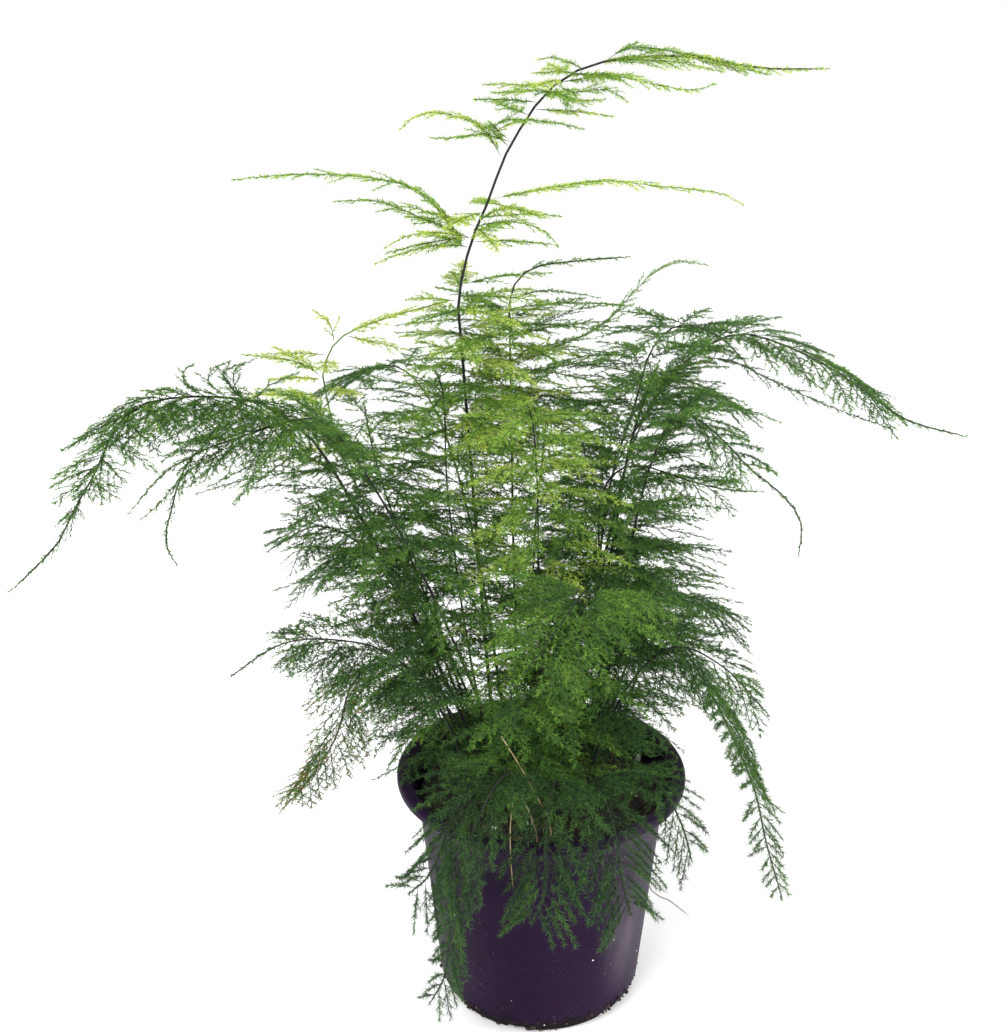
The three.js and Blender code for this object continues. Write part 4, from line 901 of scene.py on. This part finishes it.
class Shader:
    """A material with one Principled shader, and short calls to add nodes to it."""

    def __init__(self, name, colour, roughness, **sockets):
        self.material = bpy.data.materials.new(name)
        self.material.use_nodes = True
        self.material.diffuse_color = (*colour, 1)
        self.tree = self.material.node_tree
        self.shader = self.tree.nodes["Principled BSDF"]
        self.shader.inputs["Base Color"].default_value = (*colour, 1)
        self.shader.inputs["Roughness"].default_value = roughness
        for socket, value in sockets.items():
            self.shader.inputs[socket.replace("_", " ")].default_value = value

    def node(self, kind, inputs=None, **settings):
        node = self.tree.nodes.new("ShaderNode" + kind)
        for key, value in settings.items():
            setattr(node, key, value)
        for socket, value in (inputs or {}).items():
            self.put(node.inputs[socket], value)
        return node

    def put(self, socket, value):
        if isinstance(value, bpy.types.NodeSocket):
            self.tree.links.new(value, socket)
        else:
            socket.default_value = value

    def place(self):
        return self.node("TexCoord").outputs["Object"]

    def noise(self, scale, detail=3, roughness=0.55, stretch=None):
        vector = self.place()
        if stretch:
            vector = self.node("Mapping", {"Vector": vector, "Scale": stretch}).outputs["Vector"]
        inputs = {"Vector": vector, "Scale": scale, "Detail": detail, "Roughness": roughness}
        return self.node("TexNoise", inputs).outputs["Fac"]

    def attribute(self, name):
        return self.node("Attribute", attribute_name=name).outputs["Fac"]

    def ramp(self, value, *stops):
        node = self.node("ValToRGB", {"Fac": value})
        elements = node.color_ramp.elements
        while len(elements) < len(stops):
            elements.new(0.5)
        for element, (position, colour) in zip(elements, stops):
            element.position = position
            element.color = (*colour, 1) if len(colour) == 3 else colour
        return node.outputs["Color"]

    def math(self, operation, *values):
        node = self.node("Math", operation=operation)
        for socket, value in zip(node.inputs, values):
            self.put(socket, value)
        return node.outputs[0]

    def mix(self, factor, a, b):
        node = self.node("Mix", {"Factor": factor}, data_type="RGBA")
        self.put(node.inputs[6], a)
        self.put(node.inputs[7], b)
        return node.outputs[2]

    def colour(self, value):
        self.put(self.shader.inputs["Base Color"], value)

    def bump(self, height, strength, distance):
        node = self.node("Bump", {"Height": height, "Strength": strength, "Distance": distance})
        self.put(self.shader.inputs["Normal"], node.outputs["Normal"])


def linear(r, g, b):
    """An sRGB colour of 0 to 255 as Blender's linear one."""
    return tuple(((v / 255 + 0.055) / 1.055) ** 2.4 if v > 10 else v / 255 / 12.92 for v in (r, g, b))


def grey(value):
    return (value, value, value)


GREENS = {
    "dark": linear(38, 74, 46),
    "leaf": linear(62, 104, 44),
    "fresh": linear(106, 146, 52),
    "young": linear(158, 178, 84),
}


def needle_material(name, colour):
    """Fine needles: green after their tone, spotted, brown where dry, with a little light through them."""
    s = Shader(name, colour, 0.6, Specular_IOR_Level=0.15)
    spots = s.math("MULTIPLY", s.math("SUBTRACT", s.noise(70, 2), 0.5), 0.3)
    green = s.ramp(
        s.math("ADD", s.attribute("tone"), spots),
        (0.0, linear(20, 38, 20)), (0.25, linear(56, 88, 48)), (0.5, linear(80, 118, 48)),
        (0.74, linear(114, 156, 60)), (1.0, linear(190, 204, 96)),
    )
    green = s.mix(s.attribute("dry"), green, (*linear(120, 84, 48), 1))
    s.colour(green)
    light = s.node("BsdfTranslucent", {"Color": green})
    both = s.node("MixShader", {"Fac": 0.35})
    s.put(both.inputs[1], s.shader.outputs["BSDF"])
    s.put(both.inputs[2], light.outputs["BSDF"])
    s.put(s.tree.nodes["Material Output"].inputs["Surface"], both.outputs["Shader"])
    return s.material


def stem_material():
    """Wiry stems: purple-brown and woody at the foot, green up in the sprays, finely ridged."""
    s = Shader("stem_skin", linear(40, 50, 36), 0.5, Specular_IOR_Level=0.15)
    streaks = s.noise(260, 3, stretch=(1, 1, 0.12))
    tone = s.math("ADD", s.attribute("tone"), s.math("MULTIPLY", s.math("SUBTRACT", streaks, 0.5), 0.3))
    s.colour(s.ramp(
        tone, (0.1, linear(34, 34, 32)), (0.4, linear(44, 62, 36)), (0.75, linear(84, 112, 46)),
        (1.0, linear(142, 162, 74)),
    ))
    s.bump(streaks, 0.3, 0.0003)
    return s.material


def fibre_material(name, colour, dark, light):
    """Dead stalk: papery and streaked along its fibres."""
    s = Shader(name, colour, 0.8)
    streaks = s.noise(420, 4, stretch=(1, 1, 0.15))
    s.colour(s.ramp(streaks, (0.3, dark), (0.5, colour), (0.7, light)))
    s.bump(streaks, 0.5, 0.0004)
    return s.material


def pot_material():
    """Thin moulded plastic: dark aubergine, dusty, scuffed, with a painted highlight at the right of the
    front, and crusted with dry compost near the foot.
    """
    s = Shader("pot_plastic", linear(28, 12, 36), 0.42, Specular_IOR_Level=0.04)
    axes = s.node("SeparateXYZ", {"Vector": s.place()}).outputs
    height = axes["Z"]
    clouds = s.noise(28, 5)
    plastic = s.ramp(clouds, (0.3, linear(23, 9, 31)), (0.7, linear(32, 16, 41)))

    dust = s.ramp(s.noise(1500, 2), (0.66, grey(0)), (0.74, grey(1)))
    dust = s.math("MULTIPLY", dust, s.ramp(s.noise(40, 3), (0.5, grey(0)), (0.75, grey(0.6))))
    plastic = s.mix(dust, plastic, (*linear(150, 140, 150), 1))

    lines = s.noise(90, 2, 0.4, stretch=(0.35, 0.35, 9))
    scratch = s.ramp(lines, (0.4985, grey(0)), (0.5, grey(0.08)), (0.5015, grey(0)))
    plastic = s.mix(scratch, plastic, (*linear(120, 108, 126), 1))

    # A painted highlight stands in for a soft reflection: the wall is painted pale at the right of the front,
    # halfway up
    across = s.ramp(axes["X"], (0.026, grey(0)), (0.037, grey(1)), (0.047, grey(0.3)), (0.052, grey(0)))
    ahead = s.ramp(s.math("MULTIPLY", axes["Y"], -1), (0.012, grey(0)), (0.03, grey(1)))
    up = s.ramp(height, (0.012, grey(0)), (0.045, grey(1)), (0.09, grey(0.2)))
    painted_highlight = s.math("MULTIPLY", s.math("MULTIPLY", across, ahead), up)
    veil = s.ramp(s.noise(60, 4, stretch=(1, 1, 0.35)), (0.3, grey(0.04)), (0.7, grey(0.28)))
    plastic = s.mix(s.math("MULTIPLY", painted_highlight, veil), plastic, (*linear(168, 156, 168), 1))

    low = s.math("SUBTRACT", s.math("MULTIPLY", s.noise(130, 5, 0.7), 0.022), height)
    crust = s.ramp(s.math("MULTIPLY", low, 60), (0.1, grey(0)), (0.45, grey(1)))
    s.colour(s.mix(crust, plastic, (*linear(24, 19, 20), 1)))
    rough = s.math("ADD", 0.36, s.math("MULTIPLY", clouds, 0.16))
    rough = s.math("ADD", rough, s.math("MULTIPLY", crust, 0.45))
    s.put(s.shader.inputs["Roughness"], rough)
    s.bump(s.math("ADD", s.noise(900, 3), s.math("MULTIPLY", crust, 2)), 0.12, 0.0004)
    return s.material


def compost_material():
    """Potting compost: near black, dull and grainy."""
    s = Shader("compost", linear(26, 20, 17), 0.95)
    grains = s.noise(420, 6, 0.7)
    s.colour(s.ramp(grains, (0.3, linear(12, 9, 8)), (0.6, linear(34, 26, 21)), (0.8, linear(62, 48, 38))))
    s.bump(grains, 0.9, 0.0015)
    return s.material


def crumb_material():
    """Crumbs by their tone: dark compost, brown bark, pale grit and, at the end, white perlite."""
    s = Shader("crumbs", linear(46, 35, 28), 0.9)
    grain = s.math("MULTIPLY", s.math("SUBTRACT", s.noise(900, 3), 0.5), 0.3)
    s.colour(s.ramp(
        s.math("ADD", s.attribute("tone"), grain), (0.0, linear(14, 11, 9)), (0.45, linear(52, 38, 28)),
        (0.8, linear(96, 74, 54)), (0.9, linear(206, 204, 196)),
    ))
    return s.material


# The pot's underside, with its pad in the middle, and its drain holes, each in line with a notch in the foot
CENTRE_PAD_R = 12
FLOOR_UNDERSIDE = 2.2
FLOOR_TOP = 3.8
NOTCH_HEIGHT = 1.8
NOTCH_TURN = 6.2
DRAIN_HOLES = 6
DRAIN_TURN = 0.26
DRAIN_RING_R = 25
DRAIN_R = 4
POT_SIDES = 120

# Small grains: on the compost, round the pot's foot and on its wall
SOIL_CRUMBS = 900
PERLITE_SHARE = 0.045
CRUMBS_AT_FOOT = 150
SPECKS = 80


def rounded(profile, size):
    """Cuts each corner of a profile with a short curve."""
    p = np.array(profile, float)
    out = [p[0]]
    for before, corner, after in zip(p[:-2], p[1:-1], p[2:]):
        back, on = before - corner, after - corner
        cut = min(size, 0.45 * np.linalg.norm(back), 0.45 * np.linalg.norm(on))
        start, end = corner + unit(back) * cut, corner + unit(on) * cut
        for t in (0, 0.5, 1):
            out.append(start * (1 - t) ** 2 + 2 * corner * t * (1 - t) + end * t**2)
    return np.array([*out, p[-1]])


def lathe(profile, turns):
    """Points and faces of a closed lathe. The profile runs from the axis to the axis."""
    rings = []
    for r, z in profile[1:-1]:
        rings.append(np.stack([r * np.cos(turns), r * np.sin(turns), np.full(len(turns), z)], 1))
    n = len(turns)
    points = np.concatenate([*rings, [[0, 0, profile[0][1]], [0, 0, profile[-1][1]]]])
    faces = []
    for i in range(len(rings) - 1):
        for k in range(n):
            a, b = i * n + k, i * n + (k + 1) % n
            faces.append((a, b, b + n, a + n))
    last = (len(rings) - 1) * n
    for k in range(n):
        faces.append((len(points) - 2, (k + 1) % n, k))
        faces.append((len(points) - 1, last + k, last + (k + 1) % n))
    return points, faces


def new_object(name, mesh, *materials):
    for each in materials:
        mesh.materials.append(each)
    made = bpy.data.objects.new(name, mesh)
    bpy.context.scene.collection.objects.link(made)
    return made


def mesh_of(name, points, faces):
    mesh = bpy.data.meshes.new(name)
    mesh.from_pydata((np.array(points) * MM).tolist(), [], faces, shade_flat=False)
    return mesh


def make_pot():
    """The pot as one lathed wall, with the notches lifted out of its foot."""
    notches = np.array([i * 2 * math.pi / DRAIN_HOLES + DRAIN_TURN for i in range(DRAIN_HOLES)])
    half = math.radians(NOTCH_TURN)
    edges = np.concatenate([notches + s * half + e for s in (-1, 1) for e in (-0.002, 0.002)])
    turns = np.sort(np.concatenate([np.arange(POT_SIDES) * 2 * math.pi / POT_SIDES, edges % (2 * math.pi)]))
    under = [
        (0, 0), (CENTRE_PAD_R, 0), (CENTRE_PAD_R + 0.8, FLOOR_UNDERSIDE), (FOOT_R - 7, FLOOR_UNDERSIDE),
        (FOOT_R - 6.2, 0),
    ]
    outside = [(r, z) for z, r in POT_OUTSIDE[:-1]] + [(RIM_R, POT_HEIGHT - 1.2), (RIM_R - 1, POT_HEIGHT)]
    inside = [
        (RIM_R - 4.5, POT_HEIGHT), (RIM_INNER_R, 110.4), (56.2, 101), (53.1, 90), (44.8, 8),
        (41.2, FLOOR_TOP), (0, FLOOR_TOP),
    ]
    profile = rounded(under + outside + inside, 1.0)
    points, faces = lathe(profile, turns)
    r = np.hypot(points[:, 0], points[:, 1])
    turn = np.arctan2(points[:, 1], points[:, 0])[:, None]
    off = np.abs((turn - notches + math.pi) % (2 * math.pi) - math.pi).min(1)
    lifted = (off < half) & (r > FOOT_R - 8) & (points[:, 2] < NOTCH_HEIGHT)
    points[lifted, 2] = NOTCH_HEIGHT
    return new_object("nursery_pot", mesh_of("nursery_pot", points, faces), pot_material())


def apply_modifiers(piece):
    depsgraph = bpy.context.evaluated_depsgraph_get()
    mesh = bpy.data.meshes.new_from_object(piece.evaluated_get(depsgraph))
    piece.modifiers.clear()
    piece.data = mesh


def drill(pot):
    """Cuts the drain holes in the pot's floor."""
    for i in range(DRAIN_HOLES):
        angle = i * 2 * math.pi / DRAIN_HOLES + DRAIN_TURN
        bpy.ops.mesh.primitive_cylinder_add(vertices=28, radius=DRAIN_R * MM, depth=8 * MM)
        tool = bpy.context.object
        x, y = DRAIN_RING_R * MM * math.cos(angle), DRAIN_RING_R * MM * math.sin(angle)
        tool.location = (x, y, FLOOR_TOP * MM)
        cut = pot.modifiers.new("drain", "BOOLEAN")
        cut.object = tool
        bpy.context.view_layer.update()
        apply_modifiers(pot)
        bpy.data.objects.remove(tool)


def soil_height(x, y):
    """The compost's surface: low heaps with finer lumps on them."""
    wave = np.sin(x * 0.21 + 1.3) * np.cos(y * 0.17) + 0.6 * np.sin(x * 0.37 - y * 0.29)
    fine = np.sin(x * 1.7 + 2 * np.sin(y * 0.9)) * np.sin(y * 1.9 + 1.1)
    return SOIL_Z + 0.66 * wave + 0.45 * fine


def make_compost():
    """The compost as one lathed fill with an uneven top."""
    turns = np.arange(90) * 2 * math.pi / 90
    top = [(r, SOIL_Z) for r in np.linspace(54.5, 1.5, 30)]
    profile = [(0, 4.1), (40.9, 4.1), (44.4, 8), (52.7, 90), (55.2, SOIL_Z - 1.5), *top, (0, SOIL_Z)]
    points, faces = lathe(profile, turns)
    upper = points[:, 2] > SOIL_Z - 0.5
    points[upper, 2] = soil_height(points[upper, 0], points[upper, 1])
    return new_object("compost", mesh_of("compost", points, faces), compost_material())


def crumb_mesh(name, places, sizes, tones, rng):
    """Small rough lumps, each of twenty faces."""
    phi = (1 + math.sqrt(5)) / 2
    ball = np.array([
        (-1, phi, 0), (1, phi, 0), (-1, -phi, 0), (1, -phi, 0), (0, -1, phi), (0, 1, phi),
        (0, -1, -phi), (0, 1, -phi), (phi, 0, -1), (phi, 0, 1), (-phi, 0, -1), (-phi, 0, 1),
    ])
    ball /= np.linalg.norm(ball[0])
    sides = np.array([
        (0, 11, 5), (0, 5, 1), (0, 1, 7), (0, 7, 10), (0, 10, 11), (1, 5, 9), (5, 11, 4), (11, 10, 2),
        (10, 7, 6), (7, 1, 8), (3, 9, 4), (3, 4, 2), (3, 2, 6), (3, 6, 8), (3, 8, 9), (4, 9, 5),
        (2, 4, 11), (6, 2, 10), (8, 6, 7), (9, 8, 1),
    ])
    n = len(places)
    shape = ball[None] * (0.7 + 0.6 * rng.random((n, 12, 1))) * (0.6 + 0.7 * rng.random((n, 1, 3)))
    points = places[:, None] + shape * sizes[:, None, None]
    faces = (sides[None] + 12 * np.arange(n)[:, None, None]).reshape(-1, 3)
    mesh = mesh_of(name, points.reshape(-1, 3), faces.tolist())
    mesh.attributes.new("tone", "FLOAT", "POINT").data.foreach_set("value", np.repeat(tones, 12))
    return mesh


def on_wall(z, turn, off=0):
    """Points at the heights z on the pot's wall, or a little off it."""
    r = pot_radius(z) + off
    return np.stack([r * np.cos(turn), r * np.sin(turn), z], 1)


def make_crumbs():
    """Bark, grit and white grains of perlite on the compost, crumbs round the foot and specks on the wall."""
    rng = np.random.default_rng(7)
    r, turn = 55 * np.sqrt(rng.random(SOIL_CRUMBS)), 2 * math.pi * rng.random(SOIL_CRUMBS)
    x, y = r * np.cos(turn), r * np.sin(turn)
    sizes = 0.35 + 1.3 * rng.random(SOIL_CRUMBS) ** 3
    on_top = np.stack([x, y, soil_height(x, y) + 0.2 * sizes], 1)
    tones = np.where(rng.random(SOIL_CRUMBS) < PERLITE_SHARE, 1, 0.75 * rng.random(SOIL_CRUMBS))

    z, turn = 1.8 + 8 * rng.random(CRUMBS_AT_FOOT) ** 2, 2 * math.pi * rng.random(CRUMBS_AT_FOOT)
    foot_sizes = 0.35 + 0.75 * rng.random(CRUMBS_AT_FOOT) ** 2
    at_foot = on_wall(z, turn, 0.3 * foot_sizes)
    z, turn = 6 + 88 * rng.random(SPECKS) ** 1.6, 2 * math.pi * rng.random(SPECKS)
    specks = on_wall(z, turn)
    speck_sizes = 0.14 + 0.32 * rng.random(SPECKS) ** 2
    foot_tones = 0.1 + 0.3 * rng.random(CRUMBS_AT_FOOT)
    speck_tones = np.where(rng.random(SPECKS) < 0.4, 1, 0.7)

    places = np.concatenate([on_top, at_foot, specks])
    sizes = np.concatenate([sizes, foot_sizes, speck_sizes])
    tones = np.concatenate([tones, foot_tones, speck_tones])
    mesh = crumb_mesh("compost_crumbs", places, sizes, tones, rng)
    return new_object("compost_crumbs", mesh, crumb_material())


materials = {slot: needle_material("needles_" + slot, colour) for slot, colour in GREENS.items()}
stem_skin = stem_material()
straw = fibre_material("dry_straw", linear(170, 150, 112), linear(144, 122, 86), linear(192, 174, 138))
brown = fibre_material("dry_brown", linear(104, 68, 40), linear(70, 44, 28), linear(140, 96, 58))

stems = [Route(smooth(frond.route, 160)) for frond in FRONDS]
dry = [Route(smooth(route, 160)) for *_, route in DRY_STEMS]
placed = Placed()
for owner, stem in enumerate([*stems, *dry]):
    placed.add(stem.at(np.linspace(0, 1, max(8, round(stem.length / 6)) + 1)), owner)
for owner, (frond, stem) in enumerate(zip(FRONDS, stems)):
    ribs = grow_ribs(frond, owner, stem, placed)
    name = frond.name + "_spray"
    mesh = dress(frond, owner, stem, ribs).mesh(name)
    piece = new_object(name, mesh, stem_skin, materials[frond.slot])
    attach(piece, "root")
    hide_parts(frond.name)

for (name, slot, radii, _), stem in zip(DRY_STEMS, dry):
    tubes = Tubes()
    side = unit(np.cross(stem.at(1) - stem.at(0), UP))[None]
    stem_tube(tubes, stem, [r * STALK_SHARE for r in radii], 8, side, STEM, 0.5)
    piece = new_object(name + "_stalk", tubes.mesh(name + "_stalk"), straw if slot == "straw" else brown)
    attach(piece, "root")
    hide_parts(name)

pot = make_pot()
drill(pot)
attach(pot, "root")
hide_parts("pot")
compost, crumbs = make_compost(), make_crumbs()
for piece in (compost, crumbs):
    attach(piece, "root")
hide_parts("soil")

scene = bpy.context.scene


def area_light(name, place, aim, width, height, power):
    data = bpy.data.lights.new(name, "AREA")
    data.shape = "RECTANGLE"
    data.size, data.size_y, data.energy = width, height, power
    made = bpy.data.objects.new(name, data)
    made.location = place
    made.rotation_euler = (Vector(aim) - Vector(place)).to_track_quat("-Z", "Y").to_euler()
    scene.collection.objects.link(made)


# A floor so wide that its edge can't be told from the pale studio round it
FLOOR_HALF = 40000
corners = [(x * FLOOR_HALF, y * FLOOR_HALF, 0) for x, y in ((-1, -1), (1, -1), (1, 1), (-1, 1))]
paper = Shader("floor_paper", grey(0.94), 0.9).material
floor = new_object("floor", mesh_of("floor", corners, [(0, 1, 2, 3)]), paper)

world = bpy.data.worlds.new("studio")
world.use_nodes = True
world.node_tree.nodes["Background"].inputs["Color"].default_value = (1, 1, 1, 1)
world.node_tree.nodes["Background"].inputs["Strength"].default_value = 1.05
scene.world = world
area_light("key", (-0.8, -1.2, 1.6), (0, 0, 0.2), 1.2, 1.2, 44)
area_light("side", (1.2, -0.3, 0.5), (0, 0, 0.08), 0.25, 0.8, 14)

# The camera looks down on the plant from the front. Its focal length is given in pixels of an image whose
# height, its longer side, spans the sensor's 36 mm
LOOKS_DOWN = 22.3
FOCAL_PIXELS, IMAGE_PIXELS, SENSOR = 1635, 1032, 36
camera = bpy.data.objects.new("camera", bpy.data.cameras.new("camera"))
camera.location = (-0.0167, -0.640, 0.4976)
camera.rotation_euler = (math.radians(90 - LOOKS_DOWN), 0, 0)
camera.data.lens = FOCAL_PIXELS * SENSOR / IMAGE_PIXELS
camera.data.clip_start = 0.01
scene.collection.objects.link(camera)
scene.camera = camera
scene.view_settings.view_transform = "Standard"
